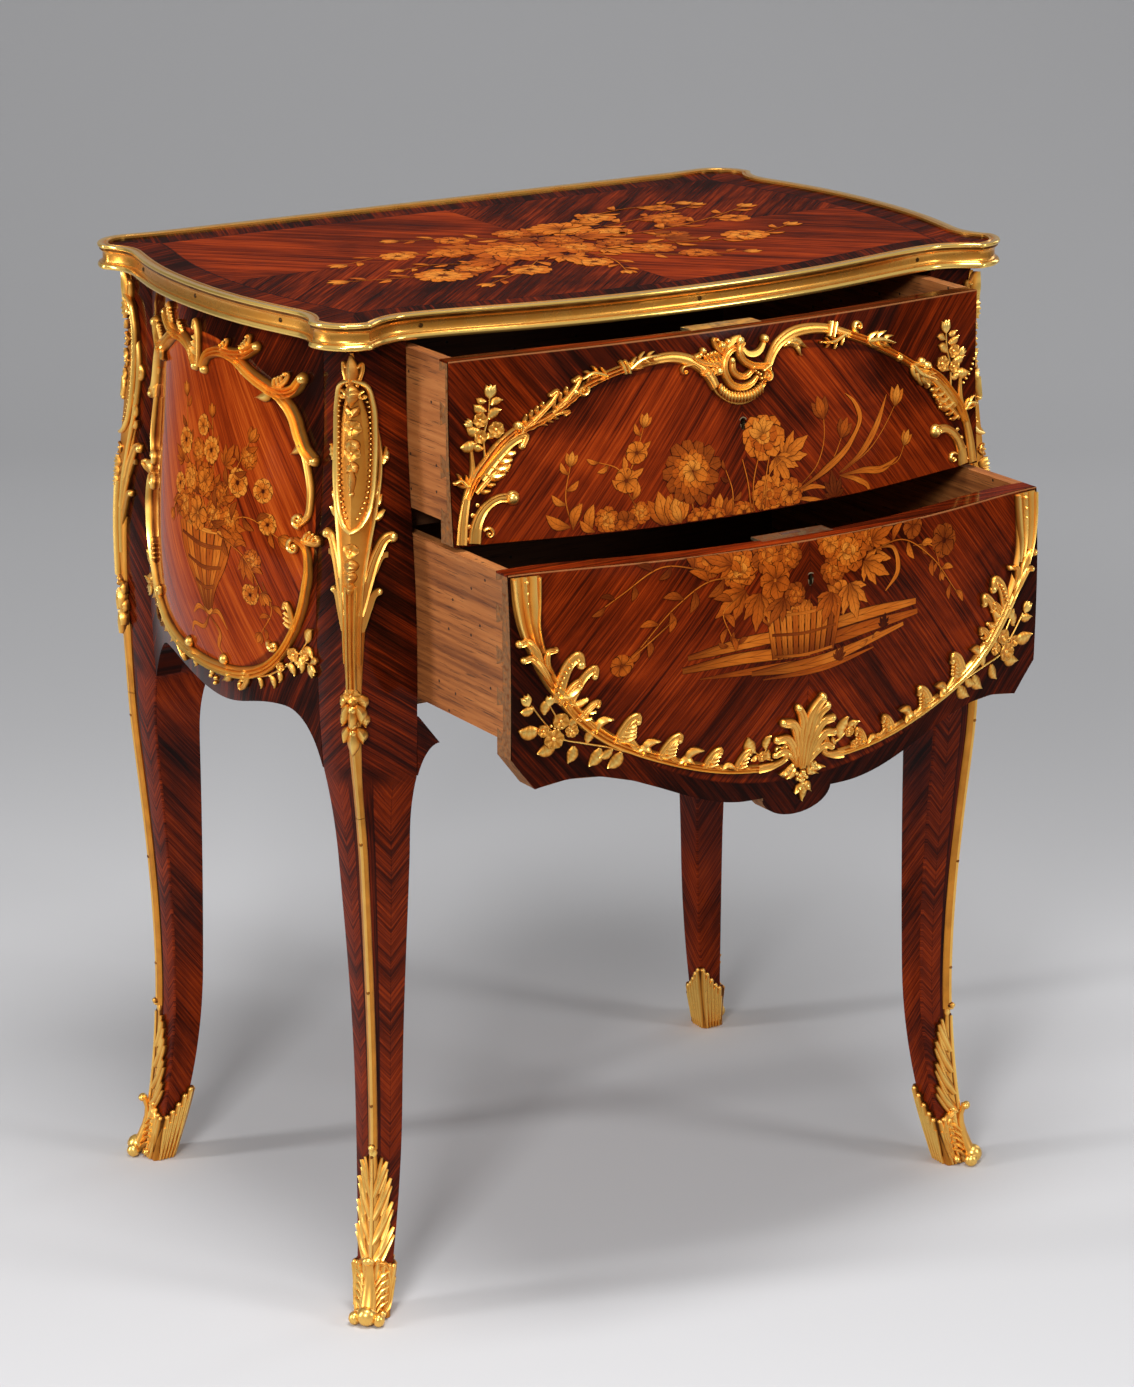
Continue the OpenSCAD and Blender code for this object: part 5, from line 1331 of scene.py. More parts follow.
# Corner mounts: a beaded mirror under a finial, side leaves, a fluted stem and a husk
def cornerMount(side, depth, where):
    m = Mount(cornerFace(side, depth))
    levels = [746, 736, 724, 706, 680, 650, 628, 612, 600, 580, 560, 530, 500, 470, 440, 404]
    m.strip([(0, z) for z in levels], [1.5, 5, 9, 14, 17, 18, 16, 14, 13, 10.5, 8.6, 7, 6, 5.6, 4.6,
                                       4.4],
            [1, 2, 2.6, 3, 3.4, 3.4, 3.4, 3.4, 3.4, 3.2, 3.2, 3, 3, 3, 2.6, 2.5], "round", lanes=15,
            gap=4, tone=0.4)
    m.strip([(0, 724), (0, 700), (0, 670), (0, 640), (0, 619)], [4, 11.5, 13.5, 12, 5],
            [2, 4, 4.6, 4.4, 3.6], "dish", lanes=15, gap=4, tone=0.35)
    for way in (-1, 1):
        m.strip(flip(way, [(1, 727), (8, 723), (13.5, 708), (15, 688), (14.6, 664), (12.4, 640),
                           (8.6, 626), (4, 619), (0, 617)]),
                [1.6, 2.1, 2.5, 2.6, 2.6, 2.5, 2.3, 2, 2], 4, "round", lift=2.6, lanes=7)
        m.strip(flip(way, [(15, 700), (19, 680), (20, 660), (18, 640), (15, 622), (12, 606),
                           (9, 588), (7, 560), (6, 520)]), [0.8, 1.8, 2, 2, 1.8, 1.6, 1.4, 1.2, 1],
                [3, 4, 4, 4, 3.4], "round", lift=0.6, lanes=5, gap=3)
        m.beads(flip(way, [(3, 720), (8, 713), (10.8, 692), (10.6, 664), (8.6, 641), (4, 627)]),
                0.9, 26, 1.6, 4.4)
        m.roll(flip(way, [(6, 556), (12, 580), (19, 600), (26, 610), (31, 611)]),
               [3, 4, 4.4, 4, 3.4], 4.4, lift=0.8, gap=1.6)
        m.dome(way * 31, 610, 4, 5, 0.8)
        m.strip(flip(way, [(10, 572), (17, 588), (24, 598), (27, 598)]), [2, 2.6, 2.6, 2], 3.6,
                "rolled", lift=0.6, lanes=7, gap=1.4)
        m.strip(flip(way, [(7, 544), (12, 560), (18, 571), (21, 572)]), [2, 3, 3, 2.4], 3.8,
                "rolled", lift=0.6, lanes=7, gap=1.4)
        m.dome(way * 21, 571.5, 2.8, 4, 0.6)
        for v, a, size in ((632, 62, 12), (624, 40, 11), (640, 78, 12)):
            c, z = math.cos(math.radians(a)), math.sin(math.radians(a))
            m.frond((way * 15, v), (way * (15 + size * c), v + size * z), 5, -0.15 * way, 3, "leaf",
                    [0.6, 1, 1.6], 7)
        m.frond((way * 20, 662), (way * 24, 676), 5, -0.2 * way, 3, lift=[0.4, 1, 1.6])
        m.frond((way * 3, 496), (way * 8, 486), 6, 0.2 * way, 3, lift=[2, 3, 2.4])
        m.frond((way * 4, 482), (way * 8, 472), 6, 0.2 * way, 3, lift=[2, 3, 2.4])
    for way in (-1, 1):
        m.crest((way * 2, 719), (way * 8, 738), 7, way, 4, 2)
        m.scroll((way * 7.4, 715), 3.4, 1.6, 0.8, 1.4, 4, way, lift=2)
    m.frond((0, 722), (0, 745), 8, 0, 4.6, "leaf", [2, 3, 2.4], 7)
    m.frond((0, 724), (0, 708), 9, 0, 4, lift=[3, 4, 3])
    for v, r in ((692, 6), (674, 5.4)):
        m.rosette(0, v, r, 6, 3, 3, v)
    for v, a in ((684, -60), (684, 240), (668, -70), (668, 250), (660, 270), (700, 60), (700, 120)):
        m.frond((0, v), away(0, v, math.radians(a), 9), 5, 0, 3, lift=[3.4, 4, 4])
    m.strip([(0, 662), (0, 646)], [1.6, 3, 1.4], 4, lift=3, lanes=5)
    m.dome(0, 645, 2.2, 3, 4)
    m.rosette(0, 604, 5, 5, 3, 3)
    for v in (598, 590, 582):
        m.frond((0, v), (0, v - 11), 9 - (598 - v) * 0.2, 0, 4, lift=[3, 3.6, 2.6])
    for way in (-1, 0, 1):
        m.strip([(way * 3.4, 578), (way * 2.8, 540), (way * 2.6, 500)], [1.3, 1.3, 1.2], 4,
                lift=2.4, lanes=5, gap=5)
    m.rosette(0, 497, 5.6, 6, 3, 3)
    for v, r in ((486, 4), (474, 3.6), (468, 3.4)):
        m.dome(0, v, r, 4, 2.4)
    for u, v, length, wide in ((-3, 490, 15, 6), (3, 490, 15, 6), (-3.4, 472, 12, 6),
                               (3.4, 472, 12, 6), (0, 487, 16, 6), (0, 470, 19, 8)):
        m.frond((u, v), (u * 1.7, v - length), wide, 0.12 * (u > 0) - 0.12 * (u < 0), 4, "leaf",
                [2.2, 3.4, 3], 7)
    m.strip([(0, 456), (0, 430), (0, 402)], 4.4, 2.3, "round", edge=0.8, lanes=11, gap=6, tone=0.3)
    m.strip([(0, 456), (0, 402)], 1.5, 1.2, "round", edge=0.4, lift=2.2, lanes=5, gap=6, sink=2,
            tone=0.7)
    m.cast("corner_" + where, "carcass", "corner_mount_" + where)


# Ribs down the arrises of the legs, pinned with small nails
def legRib(side, depth, where):
    m = Mount(cornerFace(side, depth))
    line = [(0, z) for z in np.linspace(401.5, 134, 30)]
    m.strip(line, 4.4, 2.3, "round", edge=0.8, lanes=11, gap=6, tone=0.3)
    m.strip(line, 1.5, 1.2, "round", edge=0.4, lift=2.2, lanes=5, gap=6, sink=2, tone=0.7)
    for v in (382, 262, 170):
        m.dome(0, v, 1.6, 1.0, 3.2, sink=2, tone=0.1)
    m.cast("rib_" + where, "carcass", "leg_rib_" + where)


# Foot mounts: leafage climbs the cup, a serrated leaf the arris, and a tongue runs down to
# the scrolled toe
foot = dict(cup=34, toe=(287, 194), outer=((0.3, 47), (0.54, 43), (0.8, 40), (1.03, 39)),
            inner=((0.05, 62), (0.27, 57), (0.49, 50), (0.71, 44), (0.92, 40)),
            leaf=((44, 72, 17.5), (60, 92, 16), (79, 111, 14.5), (97, 125, 11)),
            tongue=((51.5, 7, 2), (50, 7.6, 3), (47, 6, 2.6), (42, 3.6, 2.6), (35, 2.4, 3.2),
                    (27, 2.4, 4.2), (19, 3.6, 5), (12, 5.4, 5.4), (8, 7.4, 5.4)))


def footMount(side, depth, where):
    m = Mount(cornerFace(side, depth))
    out = 1 / math.sqrt(2)
    heading, across = np.array([out * side, out * depth, 0]), np.array(
        [out * side, -out * depth, 0])
    rings = []
    for z in np.concatenate([[0, 0.4, 3], np.linspace(7, foot["cup"], 14)]):
        ring = np.array(legRing(max(z, leg["sole"]))[0])
        outward = ring - ring.mean(0)
        outward[:, 2] = 0
        outward /= np.linalg.norm(outward, axis=1, keepdims=True)
        ring = ring + outward * (2.5 if z > 0.3 else 1.7)
        ring[:, 2] = z
        rings.append(ring * [side, depth, 1])
    m.rings(np.array(rings), np.full((len(rings), 20, 3), 0.25))
    backs = [Face(lambda u, v: np.stack([side * legInX(v), depth * (legInY(v) + u), v], -1),
                  -side * depth),
             Face(lambda u, v: np.stack([side * (legInX(v) + u), depth * legInY(v), v], -1),
                  side * depth)]
    corner = m.face
    for face, way, wide, plan in ((corner, 1, 17, "outer"), (corner, -1, 19, "outer"),
                                  (backs[0], 1, 19, "inner"), (backs[1], 1, 17, "inner")):
        m.face = face
        for share, tip in foot[plan]:
            u = way * wide * share
            m.strip([(u * 0.8, 1.2), (u * 0.9, 20), (u * 1.08, tip)], [1.4, 2.2, 3, 3.4, 2.4], 2.8,
                    "leaf", edge=1.5, lift=[0, 0.2, 1.0], lanes=9, gap=1.8)
            m.dome(u * 1.08, tip, 2.5, 2.4, 1.6, 10)
            m.strip([(u * 0.9, 8), (u * 1.0 + 2, tip - 8)], [0.8, 1.4, 1.4], 2, "round", edge=2.4,
                    lanes=5, gap=1.8)
    m.face = corner
    # serrated leaf on the arris
    m.strip([(0, z) for z in (38, 60, 80, 100, 118, 131)], [9, 8.6, 8, 7, 5.4, 3.6], 1.2, "leaf",
            edge=1.3, lanes=11, gap=2.5)
    m.strip([(0, 46), (0, 90), (0, 128)], [1.9, 1.9, 1.2], 1.6, "round", lift=2.2, lanes=5)
    for way in (-1, 1):
        for low, tip, reach in foot["leaf"]:
            m.strip([(way * 1.5, low), (way * reach * 0.5, (low + tip) / 2 - 3),
                     (way * reach, tip - 2)], [2.5, 3.6, 3.6, 2.8, 1.5], 2.4, "leaf", edge=1.4,
                    lift=[0.5, 0.5, 1], lanes=9, gap=1.8)
            for a, b, c, d in ((0.5, 2, 0.9, -8.5), (0.36, 9, -3.4, 1.5)):
                m.strip([(way * reach * a, low + b), (way * (reach + c), tip + d)],
                        [1.6, 2.2, 2, 1.1], 2, "leaf", edge=1.3, lift=0.4, lanes=7, gap=1.8)
    m.dome(0, 131, 4.4, 1.8, 1)
    m.dome(0, 128.5, 1.4, 0.5, 2.9, tone=0)
    m.dome(0, 134.5, 2, 4.6, 1)
    m.dome(0, 137, 2.5, 2.4, 4.4)
    spin = np.linspace(0, 2 * math.pi, 20, endpoint=False)

    def ball(centre, r, half):
        lean = np.linspace(-1.45, 1.45, 11)[:, None]
        rings = (centre + (np.cos(lean) * np.cos(spin) * r)[..., None] * heading
                 + (np.sin(lean) * half + 0 * spin)[..., None] * across
                 + (np.cos(lean) * np.sin(spin) * r)[..., None] * np.array([0, 0, 1]))
        m.rings(rings, np.full(rings.shape, 0.8))

    # tongue, with its head turned out, between ribbed scrolls
    rings = []
    for z, off, r in foot["tongue"]:
        arris = (chest["cornerX"]
                 + float(leanX(z))) * side, (chest["cornerY"] + float(leanY(z))) * depth
        centre = np.array([*arris, z]) + heading * off
        rings.append(centre + np.outer(np.cos(spin) * r * 1.2, across)
                     + np.outer(np.sin(spin) * r * 0.9, heading))
    m.rings(np.array(rings), np.full((len(rings), 20, 3), 0.6))
    ball(rings[1].mean(0) + heading * 1.5, 3.3, 4.6)
    for way in (-1, 1):
        m.strip(flip(way, [(4, 46), (10, 43), (15, 34), (16, 21), (13, 9), (8, 4.5)]),
                [1.6, 2.6, 3.2, 3.2, 2.8, 2.2], 4.6, "rolled", edge=1.6, lanes=9, gap=1.6)
        for k in range(5):
            m.strip([(way * u, v - 5.6 * k) for u, v in ((13, 37), (8.5, 35.5), (4, 29))],
                    [1.0, 1.6, 1.1], 4.2, "round", edge=1.6, lift=[0, 0.8, 1.4], lanes=7, gap=1.4)
        m.dome(way * 10, 5.2, 3.8, 6, 0.5)
    toe = np.array([foot["toe"][0] * side, foot["toe"][1] * depth, 0.1])
    for w, r, half in ((0, 7.8, 7.8), (9.5, 5.4, 4.6), (-9.5, 5.4, 4.6)):
        ball(toe + across * w + np.array([0, 0, r]), r, half)
    m.cast("foot_" + where, "carcass", "sabot_" + where)


for side, depth, where in corners:
    cornerMount(side, depth, where)
    legRib(side, depth, where)
    footMount(side, depth, where)
print("carcass mounts chased")


# Marquetry pieces stand a tenth of a millimetre proud of the ground that they are let into
class Inlay:
    def __init__(self, face, ground, low=-999, high=999):
        self.shell, self.face, self.count = Shell(), face, 0
        self.ground, self.low, self.high = ground, low, high

    def piece(self, path, half, wood, notch=(0, 0)):
        line = np.array(path, float)
        length = np.linalg.norm(np.diff(line, axis=0), axis=1).sum()
        n = max(6, int(length / 2.4) + 2, notch[0] * 4)
        line = curve(line, n)
        across = normals(line)[1]
        t, s = np.linspace(0, 1, n)[:, None], np.array([[-1.0, 0.0, 1.0]])
        wide = np.maximum(spread(half, n)[:, None] * nicks(notch, t), 0.08)
        u, v = line[:, :1] + across[:, :1] * wide * s, line[:, 1:] + across[:, 1:] * wide * s
        v = np.where(v > self.high, self.high + 0.01 * (v - self.high), v)
        v = np.where(v < self.low, self.low + 0.01 * (v - self.low), v)
        self.count += 1
        top = self.face.at(u, v, self.ground + 0.1 + 0.006 * (self.count % 70))
        under = self.face.at(u[:, ::2], v[:, ::2], self.ground - 0.4)
        self.shell.ribbon(top, under,
                          np.stack([t * length + 0 * s, s + 0 * t, wood + 0.98 * t + 0 * s], -1))

    def leaf(self, u, v, angle, length, wood=1, wide=0.4, bend=0.12, notch=(0, 0)):
        a = math.radians(angle)
        base, along = np.array([u, v]), np.array([math.cos(a), math.sin(a)]) * length
        middle = base + along * 0.5 + np.array([-along[1], along[0]]) * bend
        self.piece([base, middle, base + along], np.array([0.16, 0.7, 1, 0.7, 0.05]) * length * wide
                   / 2, wood, notch)

    def jagged(self, u, v, angle, length, wood=1):
        for turn, share in ((-62, 0.55), (62, 0.55), (-30, 0.8), (30, 0.8), (0, 1)):
            self.leaf(u, v, angle + turn, length * share, wood, 0.42, 0.0, (3, 0.25))

    def bud(self, u, v, angle, size, wood=1):
        for turn in (-24, 24, 0):
            self.leaf(u, v, angle + turn, size * (1 if turn else 1.08), wood + (0 if turn else -1),
                      0.5, 0)

    def stem(self, path, half=0.55):
        self.piece(path, [half, half * 0.85, half * 0.6], 1)

    def sprig(self, path, leaves, size, wood=1, tip="bud"):
        self.stem(path)
        line = curve(path, 41)
        ahead = normals(line)[0]
        angle = np.degrees(np.arctan2(ahead[:, 1], ahead[:, 0]))
        for k in range(leaves):
            i = int(40 * (k + 0.7) / (leaves + 0.2))
            self.leaf(*line[i], angle[i] + (46 if k % 2 else -46), size * (1.1 - 0.35 * k / leaves),
                      wood + (dice.random() > 0.7), 0.42, 0.14 if k % 2 else -0.14)
        if tip == "bud":
            self.bud(*line[-1], angle[-1], size * 0.8, wood)
        else:
            self.leaf(*line[-1], angle[-1], size * 0.9, wood)

    def flower(self, u, v, radius, petals=8, woods=(2, 1), heart=4, flat=1.0, turn=0.3):
        for layer, wood in enumerate(woods):
            r, count = radius * (1 - 0.34 * layer), max(5, petals - 2 * layer)
            w = r * math.sin(math.pi / count) * 1.2
            for k in range(count):
                a = turn + layer * 0.6 + 2 * math.pi * k / count
                reach = r * dice.uniform(0.92, 1.06)
                c, s = math.cos(a), math.sin(a) * flat
                self.piece([(u + 0.1 * r * c, v + 0.1 * r * s),
                            (u + 0.6 * reach * c, v + 0.6 * reach * s),
                            (u + reach * c, v + reach * s)],
                           [0.3 * w, 0.75 * w, w, 0.95 * w, 0.5 * w], min(wood, 4),
                           (2, 0.14) if radius > 9 else (0, 0))
        r = radius * 0.17
        self.piece([(u - r, v), (u, v), (u + r, v)], [0.45 * r, 0.9 * r, r, 0.9 * r, 0.45 * r],
                   heart)

    def rose(self, u, v, radius, wood=1):
        self.flower(u, v, radius, 7, (wood + 1, wood, wood), wood, 1, u)
        for k in range(3):
            a = 2.1 * k + v
            self.piece([(u + radius * 0.3 * math.cos(a + b), v + radius * 0.3 * math.sin(a + b))
                        for b in (0, 0.9, 1.8)], [0.05 * radius, 0.15 * radius, 0.05 * radius],
                       max(0, wood - 1))

    def build(self, name, body):
        self.shell.build(name, body, "kingwood", marquetry, sharp=35)


# Upper front: sprigs at the left, a daisy and a peony in the middle, long leaves at the right
def upperMarquetry():
    m = Inlay(upperFace, skin["proud"], 613.1, 745)
    m.sprig([(-144, 617), (-148, 640), (-143, 662)], 4, 13, 1)
    each(m.leaf, [(-146, 619, 150, 20), (-144, 618, 65, 19), (-131, 614, 80, 20),
                  (-128, 614, 140, 14)], 1, 0.45)
    m.sprig([(-95, 628), (-101, 645), (-92, 664), (-84, 684)], 6, 13, 1)
    m.sprig([(-98, 646), (-108, 658), (-121, 663)], 2, 11, 1, "leaf")
    m.flower(-101, 648, 9, 5, (1,), turn=0.5)
    m.flower(-91, 667, 8, 5, (1,), turn=0.1)
    each(m.rose, [(-118, 621, 10, 1), (-104, 618, 9, 2), (-92, 624, 8, 1)])
    m.stem([(-48, 616), (-50, 632), (-48, 646)], 0.7)
    m.flower(-48, 648, 24, 13, (3, 2), turn=0.2)
    m.flower(-47, 649, 12.5, 8, (1, 0, 1), 1)
    each(m.bud, [(-72, 612, 100, 24, 2), (-66, 612, 74, 22, 1), (-60, 613, 110, 15, 1),
                 (-28, 613, 82, 16, 2), (-22, 613, 60, 14, 3)])
    for u in (-44, -32, -6):
        m.flower(u, 614, 10, 7, (2, 1), 4, 0.8)
    m.sprig([(-16, 613), (-15, 632), (-19, 646)], 2, 9, 3, "leaf")
    for path in ([(2, 612), (4, 634), (12, 656)], [(8, 612), (14, 632), (20, 652)],
                 [(0, 612), (-1, 636), (-4, 652)], [(12, 614), (20, 640), (31, 647)]):
        m.stem(path, 0.6)
    m.flower(16, 666, 19, 8, (1, 2, 0), 1, 0.86, 0.7)
    for a in (35, 75, 120, 160):
        m.leaf(16, 668, a, 13, 0, 0.6)
    m.jagged(33, 648, 30, 27, 1)
    m.jagged(26, 650, -62, 24, 1)
    m.flower(17, 624, 15, 9, (1, 2, 1), 2, 0.9)
    m.flower(36, 622, 12, 7, (2, 1), 4, 0.9)
    each(m.piece, [([(40, 622), (70, 634), (98, 652), (108, 668), (103, 680), (95, 687)],
                    [0.5, 1.4, 2.8, 2.6, 1.8, 2.2, 0.2]),
                   ([(84, 630), (108, 642), (124, 658), (137, 680)], [0.4, 1.8, 3, 2.4, 0.2]),
                   ([(84, 628), (108, 628), (128, 626), (145, 632)], [0.4, 1.6, 2.8, 2.6, 0.3]),
                   ([(84, 628), (102, 622), (112, 615), (113, 609)], [0.5, 1.8, 2.2, 1]),
                   ([(38, 620), (56, 624), (74, 620)], [0.6, 2, 0.3]),
                   ([(38, 618), (58, 614), (76, 607)], [0.5, 2, 0.3])], 1)
    for path in ([(46, 626), (64, 640), (72, 658), (73, 672)], [(56, 628), (78, 640), (89, 656)],
                 [(86, 630), (118, 644), (136, 660), (146, 672)],
                 [(128, 626), (146, 630), (153, 640)]):
        m.stem(path, 0.5)
    each(m.bud, [(73, 671, 105, 17, 3), (88, 655, 62, 15, 3), (145, 670, 75, 15, 1),
                 (152, 639, 60, 12, 1)])
    m.jagged(78, 612, 95, 21, 4)
    m.build("marquetry_upper", "upper_drawer")


# Lower front: a slatted tub of flowers on a strip of ground, with trailing sprays
def lowerMarquetry():
    m = Inlay(lowerFace, skin["proud"], 420, 608.5)
    each(m.piece, [([(-102, 536), (-60, 541), (-8, 543)], [2.2, 4.4, 4.8, 3], 1),
                   ([(-106, 527), (-62, 530), (0, 527)], [2.6, 4.4, 4.8, 4], 1),
                   ([(-92, 519), (-40, 519), (10, 518)], [0.5, 2.6, 3.4, 3], 2),
                   ([(-10, 541), (50, 547), (98, 548)], [3, 4.8, 4.6, 2.4], 1),
                   ([(-6, 530), (52, 537), (100, 540)], [4.6, 5.6, 4.4, 2.2], 2),
                   ([(-50, 517), (10, 518), (62, 528), (86, 533)], [2, 4.6, 4.8, 3.2, 1.6], 1),
                   ([(-40, 511), (12, 512), (58, 520)], [0.5, 2.2, 2.4, 0.5], 2)])
    m.jagged(66, 534, 80, 11, 5)
    m.jagged(24, 516, 60, 12, 4)
    for u, v, a in ((52, 527, 200), (56, 527, 20), (-70, 541, 160), (-62, 541, 30), (-66, 542, 90)):
        m.leaf(u, v, a, 9, 3 if u < 0 else 1, 0.5)
    for k in range(12):
        low, high = -31 + k * 4.5, -36.5 + k * 5.5
        bow = 1.6 * (1 - (2 * k / 11 - 1) ** 2)
        m.piece([(low, 525.5 - bow), ((low + high) / 2, 542), (high, 560)], [2.1, 2.3, 2.5],
                1 + (k % 3 == 1) + (k > 9))
    for v, half in ((558, 33), (543, 31), (526.5, 28)):
        m.piece([(-3 - half, v + 0.8), (-6, v - 1.4), (-9 + half, v + 0.8)], [1.1, 1.2, 1.1],
                3 if v == 543 else 1)
    for side in (-1, 1):
        m.piece([(-5 + side * 31, 551), (-5 + side * 37, 558), (-5 + side * 32, 565)],
                [1.1, 1.2, 1.1], 2)
    m.sprig([(-52, 588), (-84, 590), (-112, 574), (-138, 548)], 8, 17, 2, "leaf")
    m.sprig([(-60, 578), (-74, 566), (-68, 548)], 3, 14, 2, "leaf")
    m.sprig([(-86, 598), (-120, 604), (-150, 588), (-163, 580)], 5, 13, 3, "leaf")
    m.stem([(-112, 566), (-138, 546), (-150, 537)])
    m.flower(-152, 536, 8, 5, (2,), 4)
    m.sprig([(52, 592), (86, 596), (112, 580), (140, 548)], 7, 15, 1, "leaf")
    m.sprig([(96, 590), (116, 586), (124, 566)], 3, 10, 2)
    m.piece([(60, 594), (76, 592), (80, 574), (68, 561)], [0.4, 1.6, 2.2, 0.4], 1)
    m.flower(128, 588, 13, 6, (3,), 5, 1, 0.1)
    m.flower(96, 604, 9, 6, (3,), 4)
    each(m.jagged, [(-56, 580, 215, 30, 2), (-44, 576, 262, 28, 2), (34, 572, 285, 29, 1),
                    (48, 586, 330, 27, 1), (18, 568, 250, 24, 2), (-24, 570, 235, 22, 3),
                    (56, 600, 20, 22, 2), (-66, 600, 160, 24, 2)])
    each(m.rose, [(-84, 606, 14, 2), (-60, 596, 15, 1), (-36, 603, 13, 2), (-31, 584, 13, 1),
                  (-18, 600, 11, 2), (34, 596, 16, 1), (18, 604, 11, 1), (20, 584, 11, 2),
                  (54, 605, 12, 2), (-14, 571, 9, 2)])
    m.flower(-9, 557, 10, 6, (1, 1), 5)
    m.flower(26, 567, 9, 6, (1,), 4)
    each(m.leaf, [(-8, 568, 270), (-2, 566, 245), (14, 574, 300), (8, 604, 60), (-10, 604, 110),
                  (6, 566, 280)], 13, 1, 0.5)
    m.build("marquetry_lower", "lower_drawer")


# Sides: a gadrooned vase of flowers with a ribbon below
def sideMarquetry(side, where):
    m = Inlay(sideFace(side), 0.0, 470, 740)
    each(m.piece, [([(16, 520), (4, 508), (-14, 506), (-20, 498)], [0.6, 1.8, 2, 0.4]),
                   ([(17, 520), (28, 508), (22, 496), (30, 488)], [0.6, 1.8, 2, 0.4]),
                   ([(15, 521), (2, 524), (-10, 516)], [0.5, 2.4, 0.6]),
                   ([(17, 521), (30, 526), (40, 514)], [0.5, 2.4, 0.6])], 1)
    for k in range(-3, 4):
        m.piece([(16 + k * 1.3, 523), (16 + k * 4, 542), (16 + k * 8.6, 566), (16 + k * 11, 588)],
                [0.9, 2.2, 4.4, 5.2], 1 + (k % 2))
    for v, half, wood in ((589, 40, 0), (577, 33, 3), (560, 24, 3), (544, 14, 3), (524, 6, 0)):
        m.piece([(16 - half, v + 2), (16, v - 2), (16 + half, v + 2)], [1.2, 1.8, 1.2], wood)
    each(m.sprig, [([(14, 590), (-4, 620), (-16, 652), (-22, 680)], 7, 14),
                   ([(20, 590), (26, 630), (20, 672)], 6, 13),
                   ([(24, 590), (46, 626), (66, 662)], 7, 15),
                   ([(30, 590), (70, 606), (98, 596)], 5, 15),
                   ([(36, 588), (66, 576), (84, 552)], 5, 13),
                   ([(0, 588), (-26, 604), (-34, 592)], 4, 13),
                   ([(84, 560), (92, 540), (80, 520)], 4, 12)], 2)
    each(m.jagged, [(-14, 606, 200, 24, 3), (48, 596, 330, 24, 2), (10, 612, 100, 24, 3),
                    (40, 640, 60, 20, 2), (-20, 632, 150, 18, 2), (66, 574, 300, 20, 2)])
    each(m.rose, [(-12, 600, 12, 1), (8, 598, 13, 0), (30, 600, 12, 1), (-6, 622, 11, 0),
                  (16, 624, 13, 1), (38, 618, 10, 2), (50, 602, 10, 1), (4, 644, 10, 1),
                  (66, 650, 9, 1), (74, 574, 9, 1)])
    each(m.flower, [(-18, 648, 10, 6), (22, 648, 10, 8), (56, 630, 11, 7), (82, 628, 9, 6),
                    (-24, 614, 8, 6), (88, 604, 8, 5), (72, 548, 8, 6), (8, 664, 8, 6)], (0, 1), 5)
    m.build("marquetry_" + where, "carcass")


# Top: a wide spray with large blooms in the middle
def topMarquetry():
    m = Inlay(topFace, 0.0)
    each(m.sprig, [([(-30, -10), (-90, 4), (-140, 18), (-176, 8)], 8, 20),
                   ([(-40, -30), (-100, -52), (-160, -60), (-205, -50)], 9, 21),
                   ([(-30, -40), (-80, -88), (-120, -112)], 6, 18),
                   ([(30, -10), (96, -4), (156, 14), (206, 40)], 9, 22),
                   ([(30, -30), (90, -58), (150, -62), (192, -44)], 8, 20),
                   ([(10, 20), (62, 60), (120, 84), (170, 82)], 8, 20),
                   ([(-10, 10), (-50, 50), (-96, 66)], 6, 19),
                   ([(20, -40), (50, -90), (104, -112)], 6, 18),
                   ([(0, -40), (4, -82), (-10, -124)], 6, 17),
                   ([(60, 30), (116, 44), (178, 68)], 7, 17),
                   ([(-90, -50), (-120, -30), (-150, -34)], 4, 15)], 1)
    each(m.jagged, [(-72, -40, 200, 36, 2), (-20, -52, 260, 34, 1), (28, 4, 350, 36, 2),
                    (20, -46, 300, 32, 1), (-60, 10, 140, 32, 2), (4, 26, 80, 34, 2),
                    (56, 46, 40, 30, 1), (84, -36, 330, 30, 3), (-112, -64, 230, 26, 3),
                    (112, 8, 20, 28, 2), (-8, 10, 120, 26, 3)])
    m.flower(-42, -18, 38, 10, (2, 1, 0), 1, 1, 0.2)
    each(m.rose, [(-44, -18, 17, 0), (6, -30, 21, 1), (10, 2, 18, 2), (-88, 4, 17, 1),
                  (56, -62, 18, 1), (62, 8, 17, 0), (-8, 44, 15, 1), (96, -24, 15, 2),
                  (-104, -58, 15, 1), (40, -30, 14, 2)])
    each(m.flower, [(34, 40, 25, 13, (1, 0)), (-136, -68, 22, 12, (1, 0)),
                    (144, -58, 19, 8, (1, 0)), (128, 32, 18, 9, (2, 1)), (-70, -84, 17, 8, (1, 0)),
                    (-128, 14, 14, 6, (1, 0)), (84, 66, 16, 8, (1, 0)), (72, -98, 14, 7, (2, 1)),
                    (-14, -86, 15, 7, (1, 0)), (176, 6, 13, 6, (1,)), (-62, 46, 14, 7, (2, 1)),
                    (150, 74, 12, 6, (1,))], 4)
    m.build("marquetry_top", "carcass")


upperMarquetry()
lowerMarquetry()
for side, where in flanks:
    sideMarquetry(side, where)
topMarquetry()
print("marquetry laid")

# Stage: pale floor that sweeps up into a backdrop behind the chest as the camera sees it
view = dict(at=(-1.6753, -2.6221, 1.3843), yaw=0.5596, pitch=0.3, roll=-0.0024, lens=107.78,
            sensor=36, reach=60)
stage = dict(wide=14, front=-6, back=4.5, tall=6, bend=2.0, far=(172, 172, 174),
             air=(208, 208, 208), greys=((-1.8, 130), (-0.9, 170), (-0.42, 206), (0.0, 202),
                                         (0.45, 200), (1.3, 190), (2.4, 204), (4.0, 198)))


